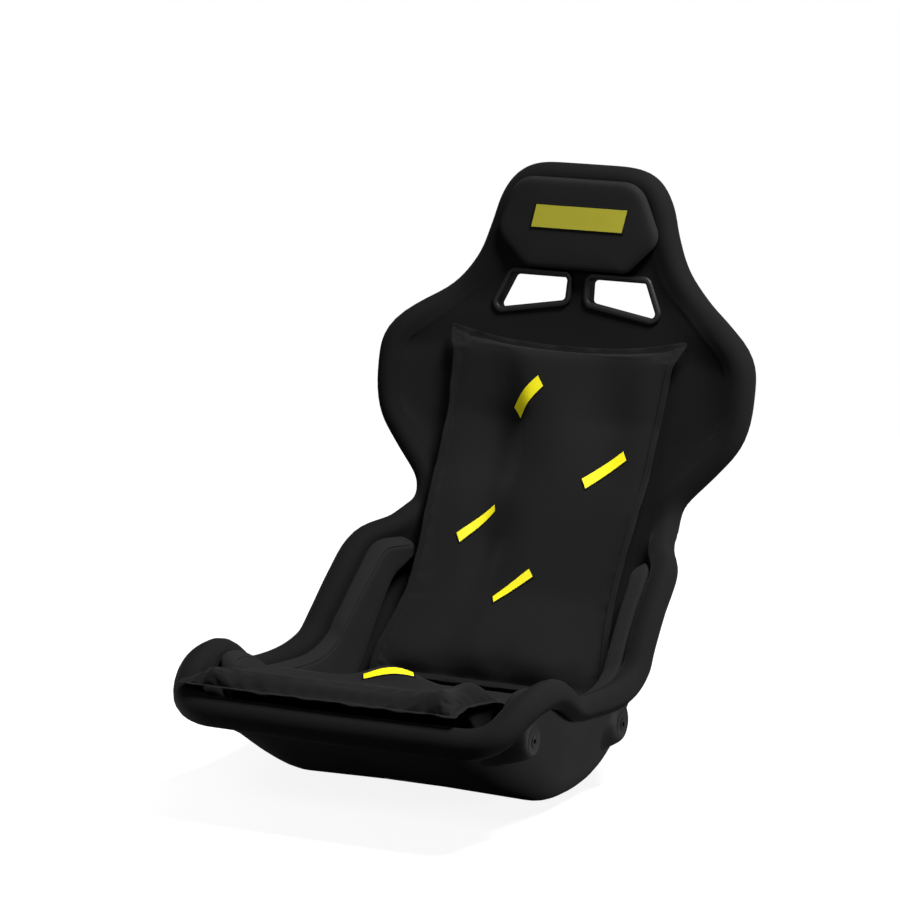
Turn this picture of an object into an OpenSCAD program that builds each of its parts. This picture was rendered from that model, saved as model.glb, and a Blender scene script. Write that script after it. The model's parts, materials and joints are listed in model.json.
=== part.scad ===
// Competition bucket seat: glass-fibre shell, padded and covered, with a foam rolled rim,
// stitched side pads, a head pad, harness openings and two lift-out moulded inserts.
// X runs across the seat, Y to the back, Z up. Lengths are in millimetres.

/* [Shell] */
// Wall of the moulded shell
shell_t = 4.5; // [3:0.5:7]
// Width of the pan between its two corner lines
pan_w = 402; // [360:1:450]
// Width between the rim feet at the thighs
thigh_w = 478; // [450:1:540]
// Width between the rim feet at the waist
waist_w = 344; // [330:1:380]
// Width between the rim feet at the shoulder wings
wing_w = 514; // [480:1:580]
// Width between the rim feet at the top of the head
head_w = 174; // [150:1:220]
// From the front edge of the pan to its deepest point
pan_depth = 345; // [320:1:380]
// From the lip down to the deepest point of the pan
pan_drop = 171; // [150:1:200]
// From the lip up to the top edge of the shell
back_h = 574; // [540:1:640]

/* [Padding] */
// Foam lining on the inner face of the shell
lining_t = 8; // [5:0.5:12]
// Fabric cover over the lining and the rim foam
cover_t = 1.6; // [1:0.1:2.5]
// Radius of the foam roll round the rim
rim_roll_r = 18; // [16:0.5:22]
// Radius of the foam roll on the front lip
lip_roll_r = 19; // [16:0.5:24]

/* [Harness openings] */
// Width of a shoulder belt opening along its lower edge
slot_w = 109; // [90:1:115]
// Height of a shoulder belt opening at its inner end
slot_h = 33; // [26:1:40]
// From the middle of the back to the inner end of the opening
slot_inset = 18.5; // [16:0.5:26]
// Width of the face of a bezel round its opening
bezel_w = 9.5; // [6:0.5:10]
// Height of a bezel's face above the cover
bezel_t = 4; // [2:0.5:6]
// Wall of the sleeve that lines an opening
sleeve_t = 2; // [1.5:0.1:3]
// Width of the crotch belt opening
crotch_w = 70; // [50:1:90]
// Length of the crotch belt opening from front to back
crotch_l = 26; // [20:1:28]
// Flange of the crotch opening's trim
crotch_flange = 9; // [6:0.5:10]

/* [Side mounts] */
// From the side wall out to the mounting face
mount_stand = 17.4; // [16:0.2:24]
// Distance between the front and the rear mounts of one side
mount_pitch = 290; // [270:1:300]
// From the front edge of the pan to the front mount
mount_y = 92; // [84:1:100]
// From the lip down to the front mount
mount_drop = 38; // [36:1:44]
// Diameter of a mounting boss
boss_d = 36; // [28:1:40]
// Diameter of the threaded insert's body
insert_d = 12; // [11:0.5:14]
// Length of the threaded insert's body
insert_l = 10; // [8:0.5:11]
// Diameter of the insert's tapped bore (tapping size of an M8 thread)
tap_d = 6.8; // [5:0.1:8.5]

/* [Pads] */
// Thickness of a thigh pad
side_pad_t = 28; // [20:1:30]
// Depth of a thigh pad down the wall
side_pad_h = 78; // [60:1:85]
// Width of the head pad at its widest
head_pad_w = 254; // [220:1:264]
// Height of the head pad
head_pad_h = 130; // [110:1:140]
// Thickness of the head pad at its middle
head_pad_t = 26; // [20:1:34]
// Fabric of the pads and inserts
fabric_t = 1.2; // [0.8:0.1:2]
// Thickness of a pair of hook-and-loop strips
strip_t = 2; // [1.5:0.1:3]

/* [Moulded inserts] */
// Width of the back insert at its middle
back_insert_w = 320; // [290:1:330]
// Width of the seat insert between the thigh pads
seat_insert_w = 364; // [330:1:368]
// Rise of the seat insert's front above the lip
thigh_rise = 30; // [25:1:50]
// Width of the sewn flange round an insert
flange_w = 6; // [4:0.5:8]
// Gap between pieces that only lie on each other
gap = 0.6; // [0.4:0.1:1]

/* [Hidden] */
$fn = 48;

// ---- small helpers ----
function unit(v) = v / norm(v);
function mix(a, b, t) = a + (b - a) * t;
function flip(p) = [-p[0], p[1], p[2]];
function last(a) = a[len(a) - 1];
function reversed(a) = [for (i = [len(a) - 1:-1:0]) a[i]];

// ---- outline of the shell ----
// The table is drawn for this pan depth, pan drop and back height and stretches with them.
table_depth = 345;
table_drop = 171;
table_height = 574;
function ys(y) = y < table_depth ? y * pan_depth / table_depth : y + pan_depth - table_depth;
function zs(z) = z < 0 ? z * pan_drop / table_drop : z * back_h / table_height;
function yz(p) = [ys(p[0]), zs(p[1])];

pan_x = pan_w / 2;
thigh_x = thigh_w / 2;
waist_x = waist_w / 2;
wing_x = wing_w / 2;
head_x = head_w / 2;
mid_roll_r = (lip_roll_r + rim_roll_r) / 2;

// Sections from the front lip to the top of the head, for the right half. Each holds the middle
// line [y, z], the corner of the section [x, y, z], how far the corner is rounded, the foot of
// the rim [x, y, z] and the radius of the rim's roll.
stations = [
    [[14, -36], [pan_x + 19, 14, -36], 46, [thigh_x - 12, 48, -13], lip_roll_r],
    [[50, -62], [pan_x + 2, 50, -66], 56, [thigh_x - 5, 66, -1], mid_roll_r],
    [[105, -93], [pan_x, 105, -100], 56, [thigh_x - 1, 108, 3], rim_roll_r],
    [[150, -118], [pan_x, 152, -124], 54, [thigh_x, 150, -4], rim_roll_r],
    [[215, -147], [pan_x, 217, -152], 52, [thigh_x, 208, -40], rim_roll_r],
    [[262, -162], [pan_x, 264, -167], 50, [thigh_x, 262, -49], rim_roll_r],
    [[345, -171], [pan_x - 2, 347, -175], 50, [thigh_x, 350, -55], rim_roll_r],
    [[408, -162], [pan_x - 5, 410, -166], 52, [thigh_x - 1, 412, -40], rim_roll_r],
    [[458, -135], [pan_x - 6, 460, -138], 54, [thigh_x - 4, 446, -10], rim_roll_r],
    [[513, -90], [pan_x - 5, 515, -90], 52, [thigh_x - 7, 491, 32], rim_roll_r],
    [[572, -18], [pan_x - 3, 574, -14], 48, [thigh_x - 12, 543, 70], rim_roll_r],
    [[614, 48], [pan_x - 8, 616, 52], 46, [thigh_x - 37, 598, 82], rim_roll_r],
    [[645, 102], [waist_x - 20, 647, 104], 40, [waist_x, 646, 114], rim_roll_r],
    [[680, 162], [waist_x - 16, 680, 162], 50, [waist_x + 3, 676, 166], rim_roll_r],
    [[707, 222], [wing_x - 67, 705, 222], 60, [wing_x - 35, 696, 222], rim_roll_r],
    [[724, 260], [wing_x - 57, 718, 260], 60, [wing_x - 6, 706, 262], rim_roll_r],
    [[746, 318], [wing_x - 57, 741, 318], 60, [wing_x, 720, 318], rim_roll_r],
    [[757, 350], [wing_x - 57, 753, 350], 60, [wing_x - 9, 732, 352], rim_roll_r],
    [[769, 402], [head_x + 61, 768, 402], 40, [head_x + 89, 766, 402], rim_roll_r],
    [[780, 450], [head_x + 28, 779, 450], 30, [head_x + 46, 778, 452], rim_roll_r],
    [[792, 508], [head_x + 8, 791, 508], 25, [head_x + 23, 788, 508], rim_roll_r],
    [[797, 548], [head_x + 1, 796, 548], 20, [head_x + 13, 794, 545], rim_roll_r],
    [[799, 574], [head_x - 9, 798, 574], 26, [head_x, 797, 567], rim_roll_r]];
// Sections between one station and the next, more where the outline turns.
sections_per_station = [3, 2, 1, 1, 1, 1, 1, 2, 2, 2, 3, 3, 2, 2, 2, 1, 2, 2, 1, 1, 2, 2];

function flat(s) = [each yz(s[0]), s[1][0], each yz([s[1][1], s[1][2]]), s[2],
    s[3][0], each yz([s[3][1], s[3][2]]), s[4]];
rows_flat = [for (s = stations) flat(s)];
n_st = len(stations);
function spline(a, b, c, d, t) =
    0.5 * (2 * b + (c - a) * t + (2 * a - 5 * b + 4 * c - d) * t * t + (3 * b - a - 3 * c + d) * t * t * t);
function spline_at(list, u) =
    let (n = len(list), i = max(0, min(floor(u), n - 2)), t = u - i)
    spline(list[max(i - 1, 0)], list[i], list[i + 1], list[min(i + 2, n - 1)], t);
function station(u) = spline_at(rows_flat, u);
function roll_r(u) = last(station(u));

// Half a section from the middle line out to the foot of the rim: floor, rounded corner, wall.
corner_steps = [0.25, 0.5, 0.75];
function half_section(u) =
    let (r = station(u), C = [0, r[0], r[1]], K = [r[2], r[3], r[4]], R = [r[6], r[7], r[8]],
        to_c = norm(K - C), to_r = norm(R - K), a = min(r[5], to_c * 0.9), b = min(r[5], to_r * 0.9),
        A = mix(K, C, a / to_c), B = mix(K, R, b / to_r))
    [C, A, for (t = corner_steps) A * (1 - t) * (1 - t) + K * 2 * t * (1 - t) + B * t * t, B, R];
// Before this station the lip turns up into the wall, which already faces as it does there.
lip_turn = 1;
// Normals of the floor and the wall, turned evenly through the corner; they face the occupant.
function floor_dir(r) = unit([r[2], r[3] - r[0], r[4] - r[1]]);
function wall_dir(r) = unit([r[6] - r[2], r[7] - r[3], r[8] - r[4]]);
function half_normals(u) =
    let (r = station(u), e = 0.1, d = station(u + e) - station(u - e),
        w = max(u, lip_turn), q = station(w), dq = station(w + e) - station(w - e),
        mid_n = unit(cross([1, 0, 0], [0, d[0], d[1]])),
        floor_n = unit(cross(floor_dir(r), [d[2], d[3], d[4]])),
        wall_n = unit(cross(wall_dir(q), [dq[6], dq[7], dq[8]])))
    [mid_n, floor_n, for (t = corner_steps) unit(mix(floor_n, wall_n, t)), wall_n, wall_n];
section_us = [for (i = [0:n_st - 2]) for (k = [0:sections_per_station[i] - 1])
    i + k / sections_per_station[i], n_st - 1];
n_row = len(section_us);
halves = [for (u = section_us) half_section(u)];
half_ns = [for (u = section_us) half_normals(u)];
n_half = len(halves[0]) - 1;
n_col = 2 * n_half + 1;
function both_sides(rows) = [for (h = rows) [for (j = [-n_half:n_half]) j < 0 ? flip(h[-j]) : h[j]]];
inner = both_sides(halves);
inner_n = both_sides(half_ns);

// Normals of a grid of points, by the differences of its neighbours.
function grid_normals(g) =
    let (nr = len(g), nc = len(g[0]))
    [for (i = [0:nr - 1]) [for (j = [0:nc - 1])
        let (along = g[min(i + 1, nr - 1)][j] - g[max(i - 1, 0)][j],
            across = g[i][min(j + 1, nc - 1)] - g[i][max(j - 1, 0)])
        unit(cross(across, along))]];
function raised(g, n, d) = [for (i = [0:len(g) - 1]) [for (j = [0:len(g[0]) - 1]) g[i][j] + n[i][j] * d]];

// ---- the rim: a closed loop round the edge of the grid ----
function loop_of(nr, nc) = [for (j = [0:nc - 1]) [0, j], for (i = [1:nr - 1]) [i, nc - 1],
    for (j = [nc - 2:-1:0]) [nr - 1, j], for (i = [nr - 2:-1:1]) [i, 0]];
loop = loop_of(n_row, n_col);
n_loop = len(loop);
edge = [for (q = loop) inner[q[0]][q[1]]];
edge_r = [for (q = loop) roll_r(section_us[q[0]])];
edge_along = [for (k = [0:n_loop - 1]) unit(edge[(k + 1) % n_loop] - edge[(k + n_loop - 1) % n_loop])];
// The wall of the shell runs on outwards into the roll, square to the edge.
edge_n = [for (k = [0:n_loop - 1]) let (n = inner_n[loop[k][0]][loop[k][1]], t = edge_along[k])
    unit(n - t * (n * t))];
edge_out = [for (k = [0:n_loop - 1]) unit(cross(edge_along[k], edge_n[k]))];
// The roll grips the shell's edge: its circle passes through both edges of the wall.
function roll_reach(k) = sqrt(edge_r[k] * edge_r[k] - shell_t * shell_t / 4);
function rim_point(k, o, n) =
    edge[k] + edge_out[k] * (roll_reach(k) + o) + edge_n[k] * (n - shell_t / 2);
roll_centre = [for (k = [0:n_loop - 1]) rim_point(k, 0, 0)];
// The quads of a strip along the rim are split so that the two sides mirror each other.
function right_side(k) = edge[k][0] + edge[(k + 1) % n_loop][0] > 0;
function quad(a, b, c, d, swap) = swap ? [[a, b, d], [b, c, d]] : [[a, b, c], [a, c, d]];
// Where a layer that stands h above the shell's inner face runs into a roll of radius r.
function layer_foot(k, r, h) =
    let (n = h + shell_t / 2) [-sqrt(r * r - n * n), n];
roll_angles = [95, 50, 5, -40, -85, -128];
function arc_points(k, r) = [for (a = roll_angles) [r * cos(a), r * sin(a)]];
function on_rim(k, list) = [for (p = list) rim_point(k, p[0], p[1])];

// ---- solids from grids and rings ----
function grid_points(g) = [for (r = g) each r];
// The cells' diagonals mirror about the middle of the grid, so that no corner cell is cut off,
// unless way gives them all one direction.
function grid_faces(nr, nc, o, up, way = 0) = [for (i = [0:nr - 2]) for (j = [0:nc - 2])
    let (a = o + i * nc + j, b = a + 1, c = a + nc + 1, d = a + nc,
        same = way == 0 ? (i < (nr - 1) / 2) == (j < (nc - 1) / 2) : way > 0,
        q = same ? [a, b, c, d] : [b, c, d, a])
    each (up ? [[q[0], q[2], q[1]], [q[0], q[3], q[2]]] : [[q[0], q[1], q[2]], [q[0], q[2], q[3]]])];
function band_faces(n, k, a, b) = [for (i = [0:n - 1])
    let (j = (i + 1) % n) each [[a + i * k, b + i * k, b + j * k], [a + i * k, b + j * k, a + j * k]]];

// Closed solid between two grids of one size; the first one faces the occupant.
module slab(g, h, way = 0) {
    nr = len(g);
    nc = len(g[0]);
    o = nr * nc;
    ids = [for (q = loop_of(nr, nc)) q[0] * nc + q[1]];
    m = len(ids);
    sides = [for (k = [0:m - 1]) let (a = ids[k], b = ids[(k + 1) % m])
        each quad(a, b, b + o, a + o, m == n_loop && right_side(k))];
    polyhedron(concat(grid_points(g), grid_points(h)),
        concat(grid_faces(nr, nc, 0, true, way), grid_faces(nr, nc, o, false, way), sides), convexity = 8);
}

// Closed cushion between two grids that share their edge.
module pillow(g, h) {
    nr = len(g);
    nc = len(g[0]);
    o = nr * nc;
    function own(i, j) = i == 0 || j == 0 || i == nr - 1 || j == nc - 1;
    under = [for (f = grid_faces(nr, nc, 0, false)) [for (v = f) own(floor(v / nc), v % nc) ? v : v + o]];
    polyhedron(concat(grid_points(g), grid_points(h)), concat(grid_faces(nr, nc, 0, true), under),
        convexity = 8);
}

// Closed solid through a stack of rings; both ends are closed on their centres.
module ring_stack(rings, swap = false) {
    n = len(rings[0]);
    m = len(rings);
    c0 = m * n;
    function centre(r) = [for (a = [0:2]) [for (p = r) p[a]] * [for (p = r) 1] / n];
    walls = [for (k = [0:m - 2]) for (i = [0:n - 1])
        let (a = k * n + i, b = k * n + (i + 1) % n) each quad(a, b, b + n, a + n, swap)];
    caps = [for (i = [0:n - 1]) let (j = (i + 1) % n)
        each [[c0, j, i], [c0 + 1, (m - 1) * n + i, (m - 1) * n + j]]];
    polyhedron(concat([for (r = rings) each r], [centre(rings[0]), centre(last(rings))]),
        concat(walls, caps), convexity = 8);
}

// A tongue or skin along the rim: closed profile strip between two edge loops of the grids.
module rimmed_slab(g, h, profile) {
    nr = len(g);
    nc = len(g[0]);
    o = nr * nc;
    ids = [for (q = loop) q[0] * nc + q[1]];
    n = len(profile[0]);
    base = 2 * o;
    function ring(k) = concat([ids[k]], [for (i = [0:n - 1]) base + k * n + i], [ids[k] + o]);
    strip = [for (k = [0:n_loop - 1]) let (here = ring(k), next = ring((k + 1) % n_loop))
        for (i = [0:n])
            each quad(here[i], next[i], next[i + 1], here[i + 1], right_side(k) != (i > n / 2))];
    polyhedron(concat(grid_points(g), grid_points(h), [for (p = profile) each p]),
        concat(grid_faces(nr, nc, 0, true), grid_faces(nr, nc, o, false), strip), convexity = 10);
}

// ---- local planes on the shell ----
module on_plane(o, x, y) {
    z = cross(x, y);
    multmatrix([[x[0], y[0], z[0], o[0]], [x[1], y[1], z[1], o[1]], [x[2], y[2], z[2], o[2]], [0, 0, 0, 1]])
        children();
}

// Outline with each corner rounded to the radius r.
arc_step = 1 / 3;
function rounded(p, r) = [for (i = [0:len(p) - 1])
    let (n = len(p), b = p[i], u = unit(p[(i + n - 1) % n] - b), v = unit(p[(i + 1) % n] - b),
        half = acos(u * v) / 2, c = b + unit(u + v) * r / sin(half), run = r / tan(half),
        s = b + u * run - c, e = b + v * run - c, turn = 180 - 2 * half, way = sign(cross(s, e)))
    each [for (t = [0:arc_step:1]) c + [s[0] * cos(turn * t) - way * s[1] * sin(turn * t),
        s[1] * cos(turn * t) + way * s[0] * sin(turn * t)]]];
// Outline moved outwards by d; its points run anticlockwise.
function grown(p, d) = [for (i = [0:len(p) - 1])
    let (n = len(p), a = unit(p[i] - p[(i + n - 1) % n]), b = unit(p[(i + 1) % n] - p[i]),
        na = [a[1], -a[0]], nb = [b[1], -b[0]])
    p[i] + (na + nb) * d / (1 + na * nb)];

// The shoulder belt openings lie in the flat of the back below the head pad.
slot_mid = half_section(18.5)[0];
slot_up = unit(half_section(19)[0] - half_section(18)[0]);
bezel_lift = 1.4;
slot_face = lining_t + cover_t + bezel_lift;
slot_r = 6;
slot_slope = 0.16;
slot_low = -27.5;
slot_top = slot_low + slot_slope * slot_w + slot_h;
slot_outline = [[slot_inset + slot_w, slot_low - 1], [slot_inset + slot_w - 23, slot_top],
    [slot_inset - 1, slot_top], [slot_inset, slot_low + slot_slope * slot_w]];
sleeve_gap = 1;

module at_slot(side) {
    mirror([side < 0 ? 1 : 0, 0, 0])
        on_plane(slot_mid, [1, 0, 0], slot_up)
        children();
}

module slot_cut(side) {
    depth = 60;
    at_slot(side)
        translate([0, 0, -depth / 2])
        linear_extrude(depth)
        polygon(rounded(grown(slot_outline, sleeve_t + sleeve_gap), slot_r + sleeve_t + sleeve_gap));
}

module slot_ring(grow_out, grow_in) {
    difference() {
        polygon(rounded(grown(slot_outline, grow_out), slot_r + grow_out));
        polygon(rounded(grown(slot_outline, grow_in), slot_r + grow_in));
    }
}

// The crotch belt opening lies in one flat of the pan's floor.
crotch_row = 4;
crotch_a = half_section(crotch_row)[0];
crotch_b = half_section(crotch_row + 1)[0];
crotch_r = 6;

module at_crotch() {
    on_plane((crotch_a + crotch_b) / 2, [1, 0, 0], unit(crotch_b - crotch_a)) children();
}

function crotch_outline(d) = rounded([for (c = [[1, -1], [1, 1], [-1, 1], [-1, -1]])
    [c[0] * (crotch_w / 2 + d), c[1] * (crotch_l / 2 + d)]], crotch_r + d);

module crotch_cut(d) {
    depth = 60;
    at_crotch()
        translate([0, 0, -depth / 2])
        linear_extrude(depth)
        polygon(crotch_outline(d));
}

// ---- shell, padding and cover ----
outer = lifted(-shell_t, 0);

module shell() {
    tongue = [for (k = [0:n_loop - 1]) on_rim(k, [[0, shell_t / 2], [0, -shell_t / 2]])];
    color("#2b2b2d")
        difference() {
            rimmed_slab(inner, outer, tongue);
            slot_cut(1);
            slot_cut(-1);
            crotch_cut(sleeve_t + sleeve_gap);
        }
}

module edge_foam() {
    n = len(roll_angles) + 4;
    rings = [for (k = [0:n_loop - 1]) on_rim(k, concat([layer_foot(k, edge_r[k], 0)],
        [layer_foot(k, edge_r[k], lining_t)], arc_points(k, edge_r[k]),
        [layer_foot(k, edge_r[k], -shell_t)], [[0, -shell_t / 2], [0, shell_t / 2]]))];
    m = n + 1;
    walls = [for (k = [0:n_loop - 1]) for (i = [0:m - 1])
        let (k2 = (k + 1) % n_loop, j = (i + 1) % m)
        each quad(k * m + i, k2 * m + i, k2 * m + j, k * m + j,
            right_side(k) != (i == 0 || i > m - 3))];
    color("#4a4a4a")
        polyhedron([for (r = rings) each r], walls, convexity = 10);
}

// Grid that stands h above the inner face and ends on a roll of radius edge_r + skin.
function lifted(h, skin) =
    let (g = raised(inner, inner_n, h), nc = n_col)
    [for (i = [0:n_row - 1]) [for (j = [0:nc - 1])
        let (k = i == 0 ? j : j == nc - 1 ? nc - 1 + i : i == n_row - 1 ? nc - 1 + n_row - 1 + nc - 1 - j
            : j == 0 ? n_loop - i : -1)
        k < 0 ? g[i][j] : rim_point(k, each_o(k, h, skin), h + shell_t / 2)]];
function each_o(k, h, skin) = layer_foot(k, edge_r[k] + skin, h)[0];
lining_top = lifted(lining_t, 0);
cover_top = lifted(lining_t + cover_t, cover_t);

module lining_foam() {
    color("#6a6a6a")
        difference() {
            slab(lining_top, inner);
            slot_cut(1);
            slot_cut(-1);
            crotch_cut(crotch_flange + sleeve_gap);
        }
}

module cover() {
    wrap = [for (k = [0:n_loop - 1]) let (r = edge_r[k], R = r + cover_t)
        on_rim(k, concat(arc_points(k, R), [layer_foot(k, R, -shell_t - gap)],
            [layer_foot(k, r, -shell_t - gap)], reversed(arc_points(k, r))))];
    color("#151516")
        difference() {
            rimmed_slab(cover_top, lining_top, wrap);
            slot_cut(1);
            slot_cut(-1);
            crotch_cut(crotch_flange + sleeve_gap);
        }
}

// ---- mounts ----
// The line through the two mounts of a side falls to the back by this angle.
mount_slope = 9.5;
front_mount = [ys(mount_y), -mount_drop];
rear_mount = front_mount + mount_pitch * [cos(mount_slope), -sin(mount_slope)];
// The mounts lie this far up the side wall, from its corner line to its rim.
mount_share = 0.7;
mount_x = mix(pan_x, thigh_x, mount_share) + mount_stand;
flange_t = 1;
flange_d = insert_d + 4;
boss_reach = 40;

// Children stand in the mounting faces and point outwards.
module at_mounts() {
    for (side = [0, 1])
        for (m = [front_mount, rear_mount])
            mirror([side, 0, 0])
            translate([mount_x, m[0], m[1]])
            rotate([0, 90, 0])
            children();
}

// What lies inside the outer face of the side wall, along the bosses.
module behind_wall() {
    rows = [for (i = [0:n_row - 1]) if (section_us[i] < 9) [for (j = [n_half + 2:n_col - 1]) outer[i][j]]];
    slab([for (r = rows) [for (p = r) p - [boss_reach, 0, 0]]], rows, -1);
}

module mount_bosses() {
    color("#232325")
        difference() {
            at_mounts()
                translate([0, 0, -boss_reach])
                cylinder(h = boss_reach, d = boss_d);
            behind_wall();
            mirror([1, 0, 0])
                behind_wall();
            at_mounts()
                translate([0, 0, -insert_l])
                cylinder(h = insert_l + 1, d = insert_d);
        }
}

module threaded_inserts() {
    color("#b9bbbd")
        at_mounts()
        difference() {
            union() {
                translate([0, 0, -insert_l])
                    cylinder(h = insert_l, d = insert_d);
                cylinder(h = flange_t, d = flange_d);
            }
            translate([0, 0, -insert_l - 1])
                cylinder(h = insert_l + flange_t + 2, d = tap_d);
        }
}

// ---- trims of the belt openings ----
rear_t = 3;
clip_gap = 0.2;
rear_gap = 1;
crotch_low = -shell_t - rear_gap - rear_t;

module harness_bezel(side) {
    color("#0f0f10")
        at_slot(side)
        union() {
            translate([0, 0, slot_face])
                linear_extrude(bezel_t)
                slot_ring(bezel_w, 0);
            translate([0, 0, -shell_t - rear_t])
                linear_extrude(slot_face + shell_t + rear_t)
                slot_ring(sleeve_t, 0);
        }
}

module harness_bezel_rear(side) {
    color("#0f0f10")
        at_slot(side)
        translate([0, 0, -shell_t - rear_t])
        linear_extrude(rear_t)
        slot_ring(bezel_w, sleeve_t + clip_gap);
}

module crotch_trim_upper() {
    color("#0f0f10")
        at_crotch()
        difference() {
            union() {
                linear_extrude(rear_t)
                    polygon(crotch_outline(crotch_flange));
                translate([0, 0, crotch_low])
                    linear_extrude(1 - crotch_low)
                    polygon(crotch_outline(sleeve_t));
            }
            translate([0, 0, crotch_low - 1])
                linear_extrude(rear_t - crotch_low + 2)
                polygon(crotch_outline(0));
        }
}

module crotch_trim_lower() {
    color("#0f0f10")
        at_crotch()
        translate([0, 0, crotch_low])
        linear_extrude(rear_t)
        difference() {
            polygon(crotch_outline(crotch_flange));
            polygon(crotch_outline(sleeve_t + clip_gap));
        }
}

// Between the foam of a pad and its fabric.
skin_gap = 0.1;

// ---- head pad ----
head_base = 464;
head_low = zs(head_base);
head_mid = head_low + head_pad_h * 0.38;
head_top = head_low + head_pad_h;
head_outline = rounded([[head_pad_w * 0.31, head_low], [head_pad_w / 2, head_mid],
    [head_pad_w * 0.37, head_top], [-head_pad_w * 0.37, head_top], [-head_pad_w / 2, head_mid],
    [-head_pad_w * 0.31, head_low]], 22);
head_centre = [0, (head_low + head_top) / 2];
spine = [for (r = rows_flat) [r[0], r[1]]];
function u_at(list, axis, v, lo, hi, steps = 18) = let (m = (lo + hi) / 2)
    steps == 0 ? m : spline_at(list, m)[axis] < v ? u_at(list, axis, v, m, hi, steps - 1)
    : u_at(list, axis, v, lo, m, steps - 1);
function back_y(z) = spline_at(spine, u_at(spine, 1, z, 8, n_st - 1))[0];
strip_lift = 1.8;
head_back = lining_t + cover_t + gap + strip_lift;
head_over_roll = rim_roll_r + cover_t + 7 * gap - shell_t / 2;
head_base_y = back_y(head_centre[1]);

// One ring of the pad: the outline scaled by f, standing h in front of the head's back.
function head_ring(f, h, d) = [for (p = grown(head_outline, d))
    let (q = head_centre + (p - head_centre) * f, y = back_y(min(q[1], back_h - 1)))
    [q[0], mix(y, head_base_y, h > head_over_roll + 1 ? 0.5 : 0) - h, q[1]]];
head_edge = head_over_roll + head_pad_t * 0.35;
head_front = head_over_roll + head_pad_t * 0.72;
function head_rings(d) = [head_ring(0.95, head_over_roll, d), head_ring(1, head_edge - 3, d),
    head_ring(1, head_edge + 4, d), head_ring(0.97, head_front - 3 + d, d),
    head_ring(0.86, head_front + d, d), head_ring(0.5, head_over_roll + head_pad_t * 0.8 + d, d)];

module head_pad_foam() {
    color("#6a6a6a")
        ring_stack(reversed(concat([head_ring(0.62, head_back + strip_t, -fabric_t)],
            head_rings(-fabric_t - skin_gap))), true);
}

module head_pad_cover() {
    color("#1d1d1f")
        ring_stack(concat(reversed(head_rings(0)), head_rings(-fabric_t)));
}

strip_w = 25;
strip_l = 60;
strip_x = 34;

module head_pad_strips() {
    color("#101010")
        for (side = [-1, 1])
            translate([side * strip_x - strip_w / 2, 0, 0])
            on_plane([0, head_base_y, head_centre[1]], [1, 0, 0],
                unit(half_section(21)[0] - half_section(20)[0]))
            translate([0, -strip_l / 2, lining_t + cover_t + strip_lift])
            cube([strip_w, strip_l, strip_t]);
}

// ---- thigh pads ----
// Length along half a section, and the point and normal at a length from the middle.
function run_of(q, i = 0) = i >= len(q) - 1 ? 0 : norm(q[i + 1] - q[i]) + run_of(q, i + 1);
function walk(q, s, i = 0) = let (l = norm(q[i + 1] - q[i]))
    s <= l || i == len(q) - 2 ? mix(q[i], q[i + 1], s / l) : walk(q, s - l, i + 1);
function wall_point(u, s) = let (q = half_section(u)) walk(q, run_of(q) + s);
function wall_normal(u, s) = let (e = 0.05)
    unit(cross(wall_point(u, s + 1) - wall_point(u, s - 1), wall_point(u + e, s) - wall_point(u - e, s)));

// Rows along a pad: [station, size of the row, share of the thickness].
pad_rows = [[1.35, 0.5, 1], [1.5, 0.82, 1], [1.8, 0.97, 1], [2.5, 1, 1], [3.3, 1, 1], [4.2, 1, 1],
    [5.1, 1, 1], [6, 1, 1], [7, 1, 1], [7.9, 1, 1], [8.7, 1, 1.04], [9.4, 1, 1.08], [10.1, 1, 1.1],
    [10.5, 1, 1], [10.85, 0.96, 0.9], [11.1, 0.86, 0.78], [11.25, 0.6, 0.7]];
pad_rest = lining_t + cover_t + 2 * gap;
roll_rest = rim_roll_r + cover_t + 2 * gap;
// Where the pad's back leaves the wall and leans on the rim's roll, at the height h.
function roll_lean(h) = sqrt(rim_roll_r * rim_roll_r - shell_t * shell_t / 4)
    - sqrt(roll_rest * roll_rest - pow(h + shell_t / 2, 2));
pad_lean = pad_rest + 6;
// Profile of a pad: [distance past the rim's foot, height above the shell's inner face].
function pad_profile(d, t) = [[-side_pad_h + d, pad_rest], [-side_pad_h + 1 + d, pad_rest + t * 0.45],
    [-side_pad_h * 0.78, pad_rest + t * 0.85 - d], [-side_pad_h * 0.4, pad_rest + t - d],
    [-2, pad_rest + t - d], [6 - d, pad_rest + t * 0.92 - d],
    [10 - d, pad_rest + t * 0.62], [roll_lean(pad_lean) - d * 0.4, pad_lean],
    [roll_lean(pad_rest + 2), pad_rest + 2], [roll_lean(pad_rest) - 1, pad_rest]];
pad_heart = [-side_pad_h * 0.4, pad_rest + side_pad_t * 0.4];
function pad_point(u, q, f) = let (p = pad_heart + (q - pad_heart) * f,
    w = wall_point(u, min(p[0], 30))) w + wall_normal(u, min(p[0], -4)) * p[1];
function pad_row(r, d, skip) = let (prof = pad_profile(d, side_pad_t * r[2]))
    [for (j = [0:len(prof) - 1 - skip]) pad_point(r[0], prof[j], r[1])];

module side_pad_foam() {
    color("#6a6a6a")
        ring_stack([for (r = reversed(pad_rows)) pad_row(r, fabric_t + skin_gap, 0)], true);
}

module side_pad_cover() {
    color("#2a2a2c")
        slab([for (r = pad_rows) pad_row(r, 0, 2)], [for (r = pad_rows) pad_row(r, fabric_t, 2)], 1);
}

// ---- moulded inserts ----
// Shape of an edge that stays flat and turns up only close to the seam.
function turn_up(v, w, pv, pw) = 1 - (1 - pow(abs(v), pv)) * (1 - pow(abs(2 * w - 1), pw));
function bump(x, w) = exp(-x * x / (w * w));

insert_cols = [-1, -0.93, -0.8, -0.6, -0.38, -0.19, 0, 0.19, 0.38, 0.6, 0.8, 0.93, 1];

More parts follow.
